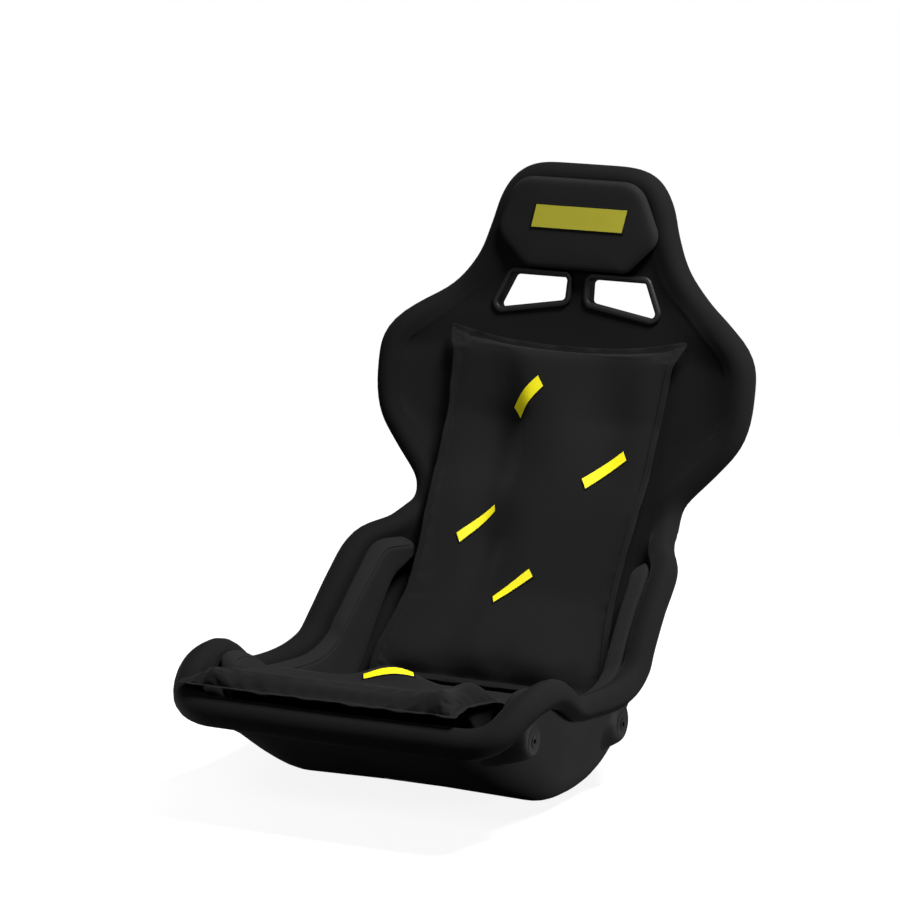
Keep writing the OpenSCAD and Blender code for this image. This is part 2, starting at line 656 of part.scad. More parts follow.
// Back insert: [station, change of its half width, height of the seam, rise of the front face].
back_rows = [
    [8.5, 14, 44, 0], [8.75, 13, 50, 12], [9.2, 9, 55, 10], [9.9, -2, 52, 0], [10.6, -6, 49, -2],
    [11.5, -5, 47, -2], [12.4, -2, 46, 0], [13.3, 0, 39, 7], [14.4, 0, 33, 13], [15.4, 3, 34, 13],
    [16.4, 8, 36, 10], [17, 14, 30, 9], [17.3, 19, 24, 0]];
n_back = len(back_rows);
// The top edge sags between its corners, in stations.
top_sag = 0.5;
function back_frame(u) = let (e = 0.1, c = half_section(u)[0], a = half_section(u - e)[0],
        b = half_section(u + e)[0])
    [c, cross([1, 0, 0], unit(b - a))];
// Grid over the insert: its own rows and columns, with one more ring outside for the sewn flange.
function ringed(list) = concat([list[0]], list, [last(list)]);
// How closely the underside keeps to the bed before it turns up to the seam, across and along.
bed_turn = [9, 16];
function back_grid(front, rise) = [for (i = [0:n_back + 1])
    let (k = max(0, min(n_back - 1, i - 1)), r = back_rows[k], w = k / (n_back - 1),
        end = i == 0 ? -1 : i == n_back + 1 ? 1 : 0,
        hw = back_insert_w / 2 + r[1])
    [for (j = [0:len(insert_cols) + 1])
        let (v = ringed(insert_cols)[j], u = r[0] - top_sag * (1 - v * v) * pow(w, 6),
            f = back_frame(u), along = unit(back_frame(u + 0.1)[0] - back_frame(u - 0.1)[0]),
            side = j == 0 ? -1 : j == len(insert_cols) + 1 ? 1 : 0,
            x = v * hw,
            seam = f[0] + [x, 0, 0] + f[1] * (r[2] + lining_t),
            e = turn_up(v, w, 4, 8),
            swell = r[3] * (1 - turn_up(v, w, 3, 30)) + insert_ridge(v, w) * (1 - e),
            low = walk(half_section(u), abs(x)),
            bed = (x < 0 ? flip(low) : low) + wall_up(u, x) * (lining_t + cover_t + gap + fabric_t),
            p = front ? seam + f[1] * swell : mix(bed, seam, turn_up(v, w, bed_turn[0], bed_turn[1])))
        p + [side * flange_w, 0, 0] + along * end * flange_w + f[1] * rise]];
function wall_up(u, x) = let (s = abs(x), q = half_section(u), e = 0.05,
    n = unit(cross(walk(q, s + 1) - walk(q, s - 1 < 0 ? 0 : s - 1),
        walk(half_section(u + e), s) - walk(half_section(u - e), s)))) x < 0 ? flip(n) : n;
// A low ridge winds down the middle of the back insert with a hollow on each side of it.
function insert_ridge(v, w) = let (c = 0.2 * sin(360 * w * 1.1 + 40))
    8 * bump(v - c, 0.28) - 7 * bump(v - c - 0.55, 0.22) - 7 * bump(v - c + 0.55, 0.22);

back_front = back_grid(true, 0);
back_rear = back_grid(false, 0);
function inside(g) = [for (i = [1:len(g) - 2]) [for (j = [1:len(g[0]) - 2]) g[i][j]]];
function skinned(g, d) = raised(g, grid_normals(g), d);

module back_insert_fill() {
    color("#8a8a8a")
        pillow(inside(back_front), inside(back_rear));
}

module back_insert_front() {
    color("#18181a")
        slab(skinned(back_front, fabric_t), back_front);
}

module back_insert_rear() {
    color("#18181a")
        slab(back_rear, skinned(back_rear, -fabric_t));
}

// Seat insert: [y, half width less the middle's, height of the seam, height of the top, and at the
// front how high the underside arches over the lip]. Heights are from the lip.
seat_rows = [
    [-4, 22, 10, 10, 7], [4, 24, 18, thigh_rise - 7, 9], [14, 24, 22, thigh_rise - 1, 7],
    [30, 20, 20, thigh_rise - 4, 0], [54, 14, 14, thigh_rise - 10, -18], [86, 6, 8, thigh_rise - 12],
    [121, 0, 0, thigh_rise - 16], [162, 0, -20, -8], [220, 0, -44, -34], [300, 0, -64, -57],
    [370, -2, -76, -70], [420, -6, -88, -80], [438, -9, -96, -96]];
// Forms pressed into the top by the driver: [x, y, reach across, reach along, height].
seat_forms = [[15, 112, 46, 46, 12], [-105, 105, 40, 50, -7], [105, 105, 40, 50, -6], [196, 14, 20, 36, 7],
    [-176, 12, 18, 30, 3]];
n_seat = len(seat_rows);
seat_cols = [-1, -0.93, -0.78, -0.55, -0.28, 0, 0.28, 0.55, 0.78, 0.93, 1];
function z_by_x(q, x, i = 0) = i >= len(q) - 2 || x <= q[i + 1][0]
    ? mix(q[i][2], q[i + 1][2], (x - q[i][0]) / (q[i + 1][0] - q[i][0])) : z_by_x(q, x, i + 1);
floor_ys = [for (h = halves) h[0][1]];
function pan_z(x, y) = let (i = max([0, for (k = [0:n_row - 2]) if (floor_ys[k] <= y) k]),
    t = (y - floor_ys[i]) / (floor_ys[i + 1] - floor_ys[i]))
    mix(z_by_x(halves[i], abs(x)), z_by_x(halves[i + 1], abs(x)), t);
pan_clear = lining_t + cover_t + 2 * gap + fabric_t;
function pan_top(x, y) = let (e = 2, zx = (pan_z(x + e, y) - pan_z(x, y)) / e,
    zy = (pan_z(x, y + e) - pan_z(x, y - e)) / (2 * e))
    pan_z(x, y) + pan_clear * sqrt(1 + zx * zx + zy * zy);
// The bed also stays clear of the rim's roll while the insert is lifted out along this slope.
roll_clear = cover_t + 2 * gap + fabric_t;
lift_slope = 40;
roll_step = 6;
roll_front = 60;
front_roll = [for (k = [0:n_loop - 1]) let (k2 = (k + 1) % n_loop, a = roll_centre[k], b = roll_centre[k2],
        n = ceil(norm(b - a) / roll_step))
    if (min(a[1], b[1]) < roll_front)
        for (i = [0:n - 1]) [mix(a, b, i / n), mix(edge_r[k], edge_r[k2], i / n)]];
far_below = -1000;
lip_level = -8;
// Height over a point of a ball's shadow, thrown down the slope towards the back.
function shadow(x, y, c, r) = let (q = r * r - pow(x - c[0], 2), m = sqrt(max(q, 0)), d = y - c[1])
    q <= 0 || d < -m ? far_below
    : d < m * sin(lift_slope) ? c[2] + sqrt(m * m - d * d)
    : c[2] + m / cos(lift_slope) - d * tan(lift_slope);
function roll_top(x, y) = max([for (b = front_roll) shadow(x, y, b[0], b[1] + roll_clear)]);
function seat_bed(x, y) = max(y > 10 ? pan_top(x, y) : lip_level, roll_top(x, y));
function seat_grid(top) = [for (i = [0:n_seat + 1])
    let (k = max(0, min(n_seat - 1, i - 1)), r = seat_rows[k], w = k / (n_seat - 1),
        end = i == 0 ? -1 : i == n_seat + 1 ? 1 : 0, y = ys(r[0]), hw = seat_insert_w / 2 + r[1])
    [for (j = [0:len(seat_cols) + 1])
        let (v = ringed(seat_cols)[j], side = j == 0 ? -1 : j == len(seat_cols) + 1 ? 1 : 0,
            x = v * hw, arch = len(r) > 4 ? zs(r[4]) : far_below, bed = max(seat_bed(x, y), arch),
            seam_z = max(zs(r[2]), bed + 1.5),
            form = [for (f = seat_forms) f[4] * bump(x - f[0], f[2]) * bump(y - f[1], f[3])]
                * [for (f = seat_forms) 1],
            crown = max(zs(r[3]) + form, seam_z),
            z = top ? mix(crown, seam_z, turn_up(v, w, 4, 40))
                : mix(bed, seam_z, turn_up(v, w, 10, 20)))
        [x + side * flange_w, y + end * flange_w, z]]];
seat_top = seat_grid(true);
seat_base = seat_grid(false);

module seat_insert_fill() {
    color("#8a8a8a")
        pillow(inside(seat_top), inside(seat_base));
}

module seat_insert_top() {
    color("#18181a")
        slab(skinned(seat_top, fabric_t), seat_top);
}

module seat_insert_base() {
    color("#18181a")
        slab(seat_base, skinned(seat_base, -fabric_t));
}

// ---- frame of the part ----
// The origin is under the middle of the seat, at its lowest point.
rim_span = [for (k = [0:n_loop - 1]) let (R = edge_r[k] + cover_t, t = edge_along[k])
    [roll_centre[k][1] - R * sqrt(1 - t[1] * t[1]), roll_centre[k][1] + R * sqrt(1 - t[1] * t[1])]];
front_y = min([for (p = rim_span) p[0]]);
back_end_y = max([for (p = rim_span) p[1]]);
low_z = min([for (r = outer) for (p = r) p[2]]);

module placed() {
    translate([0, -(front_y + back_end_y) / 2, -low_z])
        children();
}

placed() shell();
placed() mount_bosses();
placed() threaded_inserts();
placed() edge_foam();
placed() lining_foam();
placed() cover();
placed() harness_bezel(-1);  // harness_bezel_left
placed() harness_bezel(1);  // harness_bezel_right
placed() harness_bezel_rear(-1);  // harness_bezel_rear_left
placed() harness_bezel_rear(1);  // harness_bezel_rear_right
placed() crotch_trim_upper();
placed() crotch_trim_lower();
placed() head_pad_foam();
placed() head_pad_cover();
placed() head_pad_strips();
placed() mirror([1, 0, 0]) side_pad_foam();  // side_pad_left_foam
placed() mirror([1, 0, 0]) side_pad_cover();  // side_pad_left_cover
placed() side_pad_foam();  // side_pad_right_foam
placed() side_pad_cover();  // side_pad_right_cover
placed() back_insert_fill();
placed() back_insert_front();
placed() back_insert_rear();
placed() seat_insert_fill();
placed() seat_insert_top();
placed() seat_insert_base();
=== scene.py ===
# %% [markdown]
# # A competition bucket seat, dressed
# The hard parts of this seat come from its CAD model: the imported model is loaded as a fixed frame,
# and everything below is built round it, in metres. What is soft on the real seat, the cover, the
# pads and the two moulded inserts, is built anew here with cloth, seams and stitching.

# %% Load the frame
import json
import math

import bmesh
import bpy
import numpy as np
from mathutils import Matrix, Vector
from mathutils.bvhtree import BVHTree


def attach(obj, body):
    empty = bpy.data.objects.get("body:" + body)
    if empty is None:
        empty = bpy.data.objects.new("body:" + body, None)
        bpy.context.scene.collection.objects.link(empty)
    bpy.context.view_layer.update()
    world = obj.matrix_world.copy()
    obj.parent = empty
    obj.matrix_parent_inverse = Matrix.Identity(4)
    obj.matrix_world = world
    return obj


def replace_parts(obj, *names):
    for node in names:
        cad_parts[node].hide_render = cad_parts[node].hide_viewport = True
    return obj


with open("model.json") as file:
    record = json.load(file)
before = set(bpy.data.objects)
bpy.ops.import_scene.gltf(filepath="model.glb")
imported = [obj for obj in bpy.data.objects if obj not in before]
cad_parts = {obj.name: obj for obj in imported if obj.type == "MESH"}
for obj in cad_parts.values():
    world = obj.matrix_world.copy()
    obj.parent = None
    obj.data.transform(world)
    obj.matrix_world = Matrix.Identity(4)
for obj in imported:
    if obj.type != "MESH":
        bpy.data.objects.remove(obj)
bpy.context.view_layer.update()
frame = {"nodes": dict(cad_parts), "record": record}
nodes = frame["nodes"]
MM = 0.001

# %% [markdown]
# The seat is drawn from the corner where the front lip's two planes meet. The front mounts stand a
# known way behind and below that corner, so their places in the record give the corner's place.

# %% Find the lip corner
MOUNT_BEHIND_LIP, MOUNT_BELOW_LIP = 92 * MM, 38 * MM
mounts = {m["name"]: np.array(m["pos_m"]) for m in frame["record"]["mounts"]}
front_mount = mounts["side_mount_front_right"]
LIP = np.array([0, front_mount[1] - MOUNT_BEHIND_LIP, front_mount[2] + MOUNT_BELOW_LIP])
print("lip corner at", LIP.round(4))


def from_lip(points):
    """Points given in millimetres from the lip corner, in the frame's metres."""
    return np.asarray(points, float) * MM + LIP


# %% [markdown]
# ## Camera and light
# A long lens stands well back, a little above the seat and on its right, the side where x grows. So
# the seat shows its pan, the right flank of the shell and the inside of both wings, with little
# perspective. A short lens would need less room, but it would swell the front of the pan.

# %% Camera
CAMERA_PLACE = (2.5138, -5.2084, 1.6619)
CAMERA_TURN, CAMERA_DIP = math.radians(26), math.radians(11.871)
FOCAL_PIXELS, FRAME_PIXELS, SENSOR = 4314.8, 900, 36.0
camera = bpy.data.objects.new("camera", bpy.data.cameras.new("camera"))
bpy.context.scene.collection.objects.link(camera)
camera.data.sensor_width = SENSOR
camera.data.lens = FOCAL_PIXELS / FRAME_PIXELS * SENSOR
camera.data.clip_end = 50
camera.location = CAMERA_PLACE
camera.rotation_euler = (math.pi / 2 - CAMERA_DIP, 0, CAMERA_TURN)
bpy.context.scene.camera = camera
print("lens", round(camera.data.lens, 1), "mm")

# %% [markdown]
# Black cloth needs soft light with a clear direction: the shapes only read through the change from
# a lit side to a shaded one. The main panel hangs high on the right, so every hollow that looks
# down stays dark. A weak one in front opens the shadows, one low behind the right side lights the
# flank of the shell, and a small card near the floor gives its left corner an edge. None shows to
# the camera.

# %% Light
def soft_panel(name, place, aim, size, power):
    light = bpy.data.lights.new(name, "AREA")
    light.shape = "RECTANGLE"
    light.size, light.size_y = size
    light.energy = power
    panel = bpy.data.objects.new(name, light)
    bpy.context.scene.collection.objects.link(panel)
    panel.location = place
    panel.visible_camera = False
    panel.rotation_euler = (Vector(aim) - Vector(place)).to_track_quat("-Z", "Y").to_euler()
    return panel


SEAT_MIDDLE = (0, 0, 0.4)
soft_panel("panel_above", (1.3, -0.25, 3.0), SEAT_MIDDLE, (1.0, 0.9), 145)
soft_panel("panel_front", (-0.3, -3.2, 2.3), SEAT_MIDDLE, (1.2, 0.9), 22)
soft_panel("panel_right", (2.8, 0.6, 0.2), (0, 0, 0.25), (1.0, 0.4), 50)
soft_panel("card_left", (-0.55, -0.4, 0.05), (-0.2, -0.3, 0.1), (0.25, 0.08), 0.8)
bpy.context.scene.view_settings.view_transform = "Standard"


# %% [markdown]
# ## Writing finishes
# A finish is easier to read as a sum than as a web of nodes. The class below wraps one output
# socket, so that `grain * 0.2 + 0.7` adds its own Math nodes, and `Finish.node` adds any other node
# with its settings first and its inputs after.

# %% Sockets as numbers
# The pitch of a Wave texture's bands where its scale is 1, in metres.
BAND_PITCH = 0.314


class Wire:
    """One output socket of a finish. Arithmetic on it adds Math nodes."""

    def __init__(self, finish, socket):
        self.finish, self.socket = finish, socket

    def math(self, operation, *values):
        return self.finish.node("Math", {"operation": operation}, dict(enumerate(values)))

    def __add__(self, other):
        return self.math("ADD", self, other)

    def __sub__(self, other):
        return self.math("SUBTRACT", self, other)

    def __rsub__(self, other):
        return self.math("SUBTRACT", other, self)

    def __mul__(self, other):
        return self.math("MULTIPLY", self, other)

    __radd__, __rmul__ = __add__, __mul__


class Finish:
    """A material under construction, or the nodes of a world that is handed in."""

    def __init__(self, name, home=None):
        self.home = home or bpy.data.materials.new(name)
        self.home.use_nodes = True
        self.tree = self.home.node_tree
        self.tree.nodes.clear()
        self.coords = self.node("TexCoord", out="Object")

    def node(self, kind, settings=None, inputs=None, out=0):
        """Adds a node: first its settings, then the values or links of its inputs."""
        made = self.tree.nodes.new("ShaderNode" + kind)
        for key, value in (settings or {}).items():
            setattr(made, key, value)
        for key, value in (inputs or {}).items():
            if isinstance(value, Wire):
                self.tree.links.new(value.socket, made.inputs[key])
            else:
                made.inputs[key].default_value = value
        return Wire(self, made.outputs[out]) if len(made.outputs) else None

    def noise(self, size, detail=2.0, roughness=0.5):
        """Noise from 0 to 1 whose lumps are about that size, in metres."""
        return self.node("TexNoise", None, {"Vector": self.coords, "Scale": 1 / size,
                                            "Detail": detail, "Roughness": roughness}, out="Fac")

    def bands(self, pitch, distortion, detail=2.0):
        """Diagonal bands from 0 to 1 of that pitch, in metres."""
        return self.node("TexWave", {"wave_type": "BANDS", "bands_direction": "DIAGONAL"},
                         {"Vector": self.coords, "Scale": BAND_PITCH / pitch,
                          "Distortion": distortion, "Detail": detail}, out="Fac")

    def blend(self, share, first, second):
        """A colour between two colours."""
        return self.node("Mix", {"data_type": "RGBA"}, {"Factor": share, 6: first, 7: second},
                         out=2)

    def bump(self, height, depth, strength=1.0, under=None):
        """A normal that stands as if the surface were that high, in metres."""
        inputs = {"Height": height, "Distance": depth, "Strength": strength}
        if under is not None:
            inputs["Normal"] = under
        return self.node("Bump", None, inputs)

    def done(self, **sockets):
        """Closes the finish with a surface shader whose sockets are given by name."""
        named = {key.replace("_", " ").title().replace("Ior", "IOR"): value
                 for key, value in sockets.items()}
        self.node("OutputMaterial", None, {"Surface": self.node("BsdfPrincipled", None, named)})
        return self.home


def srgb(red, green, blue):
    """A screen colour, 0 to 255, as the linear colour that Blender works in."""
    linear = [v / 12.92 if v <= 0.04045 else ((v + 0.055) / 1.055) ** 2.4
              for v in (red / 255, green / 255, blue / 255)]
    return (*linear, 1.0)


# %% [markdown]
# ## Finishes
# The cover is a black velour knit over foam. Up close it is a field of fine loops with a soft sheen
# at grazing angles; from a step away only a faint mottling is left. Two noises of very different
# sizes give both.

# %% Velour of the cover
FABRIC_BLACK, FABRIC_WORN = srgb(16, 16, 17), srgb(22, 22, 23)


def cloth_finish(name, dark, light, loop=0.9 * MM, mottle=45 * MM, sheen=0.02, ribs=None):
    """A knitted or woven cloth: loops in the bump, mottling in the colour, sheen on the shader."""
    f = Finish(name)
    mottling = f.noise(mottle, detail=3.0)
    loops = f.noise(loop, detail=1.0)
    if ribs:
        loops = loops * 0.5 + f.bands(ribs, distortion=1.5, detail=1.0) * 0.5
    colour = f.blend(mottling * 0.6 + loops * 0.4, dark, light)
    return f.done(base_color=colour, roughness=mottling * 0.12 + 0.8, sheen_weight=sheen,
                  sheen_roughness=0.45, specular_ior_level=0.1,
                  normal=f.bump(loops, loop * 0.35, 0.6))


velour = cloth_finish("black_velour", FABRIC_BLACK, FABRIC_WORN)
print("made", velour.name)

# %% [markdown]
# The thigh pads and the head pad are sewn from a firmer woven cloth that reads a little lighter.
# The two inserts wear a thin stretch cloth, smoother than both, which shines softly where it is
# pulled over a fold.

# %% Cloth of the pads and inserts
pad_cloth = cloth_finish("pad_cloth", srgb(27, 27, 28), srgb(34, 34, 35), loop=0.7 * MM)
insert_cloth = cloth_finish("insert_cloth", srgb(20, 20, 21), srgb(28, 28, 29), loop=0.6 * MM,
                            mottle=60 * MM, sheen=0.05, ribs=0.8 * MM)
print("made", pad_cloth.name, "and", insert_cloth.name)

# %% [markdown]
# The shell is laid up in glass fibre against a polished mould, so its outside is a black gelcoat:
# satin, very slightly wavy, with a bloom of fine dust in its dullest places.

# %% Gelcoat of the shell
def gelcoat_finish():
    f = Finish("black_gelcoat")
    waves = f.noise(28 * MM, detail=1.0)
    bloom = f.noise(90 * MM, detail=4.0)
    peel = f.noise(2.2 * MM, detail=1.0)
    colour = f.blend(bloom, srgb(40, 40, 41), srgb(50, 50, 51))
    return f.done(base_color=colour, roughness=bloom * 0.1 + 0.55, specular_ior_level=0.15,
                  normal=f.bump(peel, 0.05 * MM, 0.5, f.bump(waves, 0.5 * MM, 0.35)))


gelcoat = gelcoat_finish()
print("made", gelcoat.name)

# %% [markdown]
# Trims are injection moulded, nearly smooth with a fine spark-eroded grain. The threaded inserts
# are turned steel with a dull black zinc coat. Thread is matt, and the plain yellow patches are a
# satin woven tape.

# %% Trim, steel, thread and patches
def moulded_finish():
    f = Finish("moulded_trim")
    grain = f.noise(0.5 * MM, detail=1.0)
    rub = f.noise(24 * MM, detail=3.0)
    return f.done(base_color=f.blend(rub, srgb(16, 16, 17), srgb(24, 24, 25)),
                  roughness=rub * 0.15 + 0.42, specular_ior_level=0.35,
                  normal=f.bump(grain, 0.04 * MM, 0.4))


def zinc_finish():
    f = Finish("zinc_steel")
    tarnish = f.noise(5 * MM, detail=4.0)
    return f.done(base_color=f.blend(tarnish, srgb(64, 66, 68), srgb(92, 94, 96)), metallic=1.0,
                  roughness=tarnish * 0.2 + 0.3, normal=f.bump(f.noise(0.4 * MM), 0.03 * MM, 0.5))


def tape_finish(name, shade, deep):
    f = Finish(name)
    wave = f.bands(0.7 * MM, distortion=0.6)
    soil = f.noise(22 * MM, detail=3.0)
    return f.done(base_color=f.blend(wave * 0.25 + soil * 0.35, shade, deep),
                  roughness=soil * 0.15 + 0.5, specular_ior_level=0.35,
                  normal=f.bump(wave, 0.12 * MM, 0.5))


trim = moulded_finish()
zinc = zinc_finish()
thread = cloth_finish("black_thread", srgb(14, 14, 15), srgb(24, 24, 25), loop=0.4 * MM)
yellow_tape = tape_finish("yellow_tape", srgb(250, 240, 20), srgb(232, 215, 10))
olive_tape = tape_finish("faded_tape", srgb(186, 180, 52), srgb(170, 162, 42))
print("made", trim.name, zinc.name, thread.name, yellow_tape.name, olive_tape.name)

# %% [markdown]
# ## The loft of the shell
# The shell is one skin pulled through sections from the front lip to the top of the head. Each
# section is a floor, a rounded corner and a side wall. The numbers below are the seat's own
# sections in millimetres from the lip corner; the cover follows them much more finely than the CAD
# solids do.

# %% Sections
# Middle line y, z; corner x, y, z; corner radius; rim foot x, y, z; radius of the rim's roll.
SECTIONS = np.array([
    [14, -36, 219, 14, -36, 48, 226, 48, -16, 19],
    [50, -62, 197, 50, -66, 64, 232, 66, -5, 18.5],
    [105, -93, 197, 105, -100, 64, 238, 108, 1, 18],
    [150, -119, 199, 152, -125, 58, 239, 150, -5, 18],
    [215, -148.5, 201, 217, -154, 42, 239, 208, -37, 15.7],
    [262, -163.5, 201, 264, -169, 38, 239, 262, -47, 15.7],
    [345, -171.5, 199, 347, -175, 44, 239, 350, -54, 18],
    [408, -162, 196, 410, -166, 52, 238, 412, -40, 18],
    [458, -135, 195, 460, -138, 54, 235, 446, -10, 18],
    [513, -90, 196, 515, -90, 52, 232, 491, 32, 18],
    [572, -18, 198, 574, -14, 48, 227, 543, 70, 18],
    [614, 48, 193, 616, 52, 46, 202, 598, 82, 18],
    [645, 102, 152, 647, 104, 40, 172, 646, 114, 18],
    [680, 162, 156, 680, 162, 50, 175, 676, 166, 18],
    [707, 222, 190, 705, 222, 60, 222, 696, 222, 18],
    [724, 260, 200, 718, 260, 60, 251, 706, 262, 18],
    [746, 318, 200, 741, 318, 60, 257, 720, 318, 18],
    [757, 350, 200, 753, 350, 60, 248, 732, 352, 18],
    [769, 402, 148, 768, 402, 40, 176, 766, 402, 18],
    [780, 450, 115, 779, 450, 30, 133, 778, 452, 18],
    [792, 508, 95, 791, 508, 25, 110, 788, 508, 18],
    [797, 548, 88, 796, 548, 20, 100, 794, 545, 18],
    [799, 574, 78, 798, 574, 26, 87, 797, 567, 18]], float)
LAST = len(SECTIONS) - 1
SHELL_T, LINING_T, COVER_T = 4.5, 8.0, 1.6


def spline(table, u):
    """Smooth curve through the rows of a table, at any number of places u counted in rows."""
    u = np.asarray(u, float)
    i = np.clip(np.floor(u), 0, len(table) - 2).astype(int)
    t = (u - i)[..., None]
    a, b = table[np.maximum(i - 1, 0)], table[i]
    c, d = table[i + 1], table[np.minimum(i + 2, len(table) - 1)]
    return 0.5 * (2 * b + (c - a) * t + (2 * a - 5 * b + 4 * c - d) * t ** 2
                  + (3 * b - a - 3 * c + d) * t ** 3)


def unit(v):
    return v / np.maximum(np.linalg.norm(v, axis=-1, keepdims=True), 1e-12)


def mix(a, b, t):
    return a + (b - a) * t


print(len(SECTIONS), "sections, back", SECTIONS[-1, 1], "mm above the lip")

# %% [markdown]
# The normals come from the sections too, not from the mesh: the floor and the wall each have one,
# and they turn evenly through the corner. That keeps the layers parallel, even at the front
# corners, where the wall of the section runs along the lip itself.

# %% Half sections and their normals
FLOOR_STEPS, CORNER_STEPS, WALL_STEPS = 9, 8, 7
# A corner takes at most this share of its floor or wall.
CORNER_MOST = 0.9
# Before this section the wall keeps its direction, and slopes are measured over this much of one.
LIP_TURN, AHEAD = 1.0, 0.1


def slope(u):
    return spline(SECTIONS, u + AHEAD) - spline(SECTIONS, u - AHEAD)


def half_sections(us):
    """Points and normals of the sections' right half at us: arrays of [section, point, xyz]."""
    us = np.asarray(us, float)
    r = spline(SECTIONS, us)
    zero = np.zeros(len(us))
    middle, corner, foot = np.stack([zero, r[:, 0], r[:, 1]], 1), r[:, 2:5], r[:, 6:9]
    to_middle, to_foot = (np.linalg.norm(p - corner, axis=1) for p in (middle, foot))
    a = mix(corner, middle, (np.minimum(r[:, 5], to_middle * CORNER_MOST) / to_middle)[:, None])
    b = mix(corner, foot, (np.minimum(r[:, 5], to_foot * CORNER_MOST) / to_foot)[:, None])
    along = slope(us)
    turned = np.maximum(us, LIP_TURN)
    q, dq = spline(SECTIONS, turned), slope(turned)
    middle_n = unit(np.cross([1.0, 0, 0], np.stack([zero, along[:, 0], along[:, 1]], 1)))
    floor_n = unit(np.cross(unit(corner - middle), along[:, 2:5]))
    wall_n = unit(np.cross(unit(q[:, 6:9] - q[:, 2:5]), dq[:, 6:9]))
    steps = np.linspace(0, 1, FLOOR_STEPS, endpoint=False)
    points = [mix(middle, a, t) for t in steps]
    normals = [unit(mix(middle_n, floor_n, t)) for t in steps]
    for t in np.linspace(0, 1, CORNER_STEPS, endpoint=False):
        points.append(a * (1 - t) ** 2 + corner * 2 * t * (1 - t) + b * t ** 2)
        normals.append(unit(mix(floor_n, wall_n, t)))
    for t in np.linspace(0, 1, WALL_STEPS):
        points.append(mix(b, foot, t))
        normals.append(wall_n)
    return np.stack(points, 1), np.stack(normals, 1)


def both_halves(half):
    """A grid over the whole width, from the half that lies on the right."""
    left = half[:, :0:-1] * [-1, 1, 1]
    return np.concatenate([left, half], 1)


ROWS_PER_SECTION = 6
section_us = np.linspace(0, LAST, LAST * ROWS_PER_SECTION + 1)
half_points, half_normals = half_sections(section_us)
skin, skin_n = both_halves(half_points), both_halves(half_normals)
n_rows, n_cols = skin.shape[:2]
print("skin of", n_rows, "by", n_cols, "points")

# %% [markdown]
# ## The rim
# A foam roll runs right round the shell's edge. Its centre lies just outside the edge, square to
# the wall, so each edge point gets a small frame of its own: along the edge, out from it and up off
# the wall. The frames are evened out along the edge, as the foam itself would even them out.

# %% Frames along the rim
loop = np.array([(0, j) for j in range(n_cols)] + [(i, n_cols - 1) for i in range(1, n_rows)]
                + [(n_rows - 1, j) for j in range(n_cols - 2, -1, -1)]
                + [(i, 0) for i in range(n_rows - 2, 0, -1)])
edge = skin[loop[:, 0], loop[:, 1]]
edge_u = section_us[loop[:, 0]]
roll_r = spline(SECTIONS, edge_u)[:, 9]
roll_reach = np.sqrt(roll_r ** 2 - SHELL_T ** 2 / 4)
# How far along the edge its frames are evened out.
EVEN_REACH = 14.0


def evening_shares():
    """For each edge point the shares of all points in its evened value, by how near they lie."""
    spacing = np.linalg.norm(np.roll(edge, -1, 0) - edge, axis=1)
    run = np.concatenate([[0], spacing[:-1].cumsum()])
    apart = np.abs(run[:, None] - run[None])
    apart = np.minimum(apart, spacing.sum() - apart)
    shares = np.exp(-(apart / EVEN_REACH) ** 2) * (spacing + np.roll(spacing, 1))
    return shares / shares.sum(1, keepdims=True)


shares = evening_shares()
rim_line = shares @ edge
edge_up = shares @ skin_n[loop[:, 0], loop[:, 1]]
edge_along = unit(shares @ unit(np.roll(rim_line, -1, 0) - np.roll(rim_line, 1, 0)))
edge_up = unit(edge_up - edge_along * (edge_up * edge_along).sum(1, keepdims=True))
edge_out = np.cross(edge_along, edge_up)


def rim_points(out, up):
    """One point per frame: out and up from the middle of the roll."""
    out, up = np.broadcast_to(out, len(edge)), np.broadcast_to(up, len(edge))
    return rim_line + edge_out * (roll_reach + out)[:, None] + edge_up * (up - SHELL_T / 2)[:, None]


rim_length = np.linalg.norm(np.diff(edge, axis=0), axis=1).sum()
print("rim of", len(loop), "frames,", round(rim_length * MM, 2), "m")

# %% [markdown]
# Every piece below is made of rings and grids of points, so a few helpers turn those into meshes.

# %% Mesh helpers
def grid_quads(rows, cols, start=0, closed=False, flip=False):
    """Quads over a grid of points; closed joins the last column to the first."""
    quads = []
    for i in range(rows - 1):
        for j in range(cols if closed else cols - 1):
            k = (j + 1) % cols
            quad = [start + i * cols + j, start + i * cols + k,
                    start + (i + 1) * cols + k, start + (i + 1) * cols + j]
            quads.append(quad[::-1] if flip else quad)
    return quads


def tube_faces(rows, cols):
    """Quads round a stack of rings, and a face over each end."""
    last = (rows - 1) * cols
    ends = [list(range(cols))[::-1], list(range(last, last + cols))]
    return grid_quads(rows, cols, closed=True) + ends


def mesh_object(name, points, faces):
    """An object in the scene from points in millimetres from the lip, its faces looking out."""
    mesh = bpy.data.meshes.new(name)
    mesh.from_pydata(from_lip(points).tolist(), [], faces)
    mesh.validate()
    turned = bmesh.new()
    turned.from_mesh(mesh)
    bmesh.ops.recalc_face_normals(turned, faces=turned.faces)
    turned.to_mesh(mesh)
    turned.free()
    obj = bpy.data.objects.new(name, mesh)
    bpy.context.scene.collection.objects.link(obj)
    return obj


def soften(obj, levels=1):
    """Rounds a piece with a subdivision surface."""
    smoother = obj.modifiers.new("smooth", "SUBSURF")
    smoother.levels = smoother.render_levels = levels


def piece(name, points, faces, material, body="seat", sharp=None, subdivide=0):
    """A piece of the seat, smooth but for edges over sharp degrees, riding on a body."""
    obj = mesh_object(name, points, faces)
    obj.data.shade_smooth()
    if sharp:
        obj.data.set_sharp_from_angle(angle=math.radians(sharp))
    obj.data.materials.append(material)
    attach(obj, body)
    if subdivide:
        soften(obj, subdivide)
    return obj


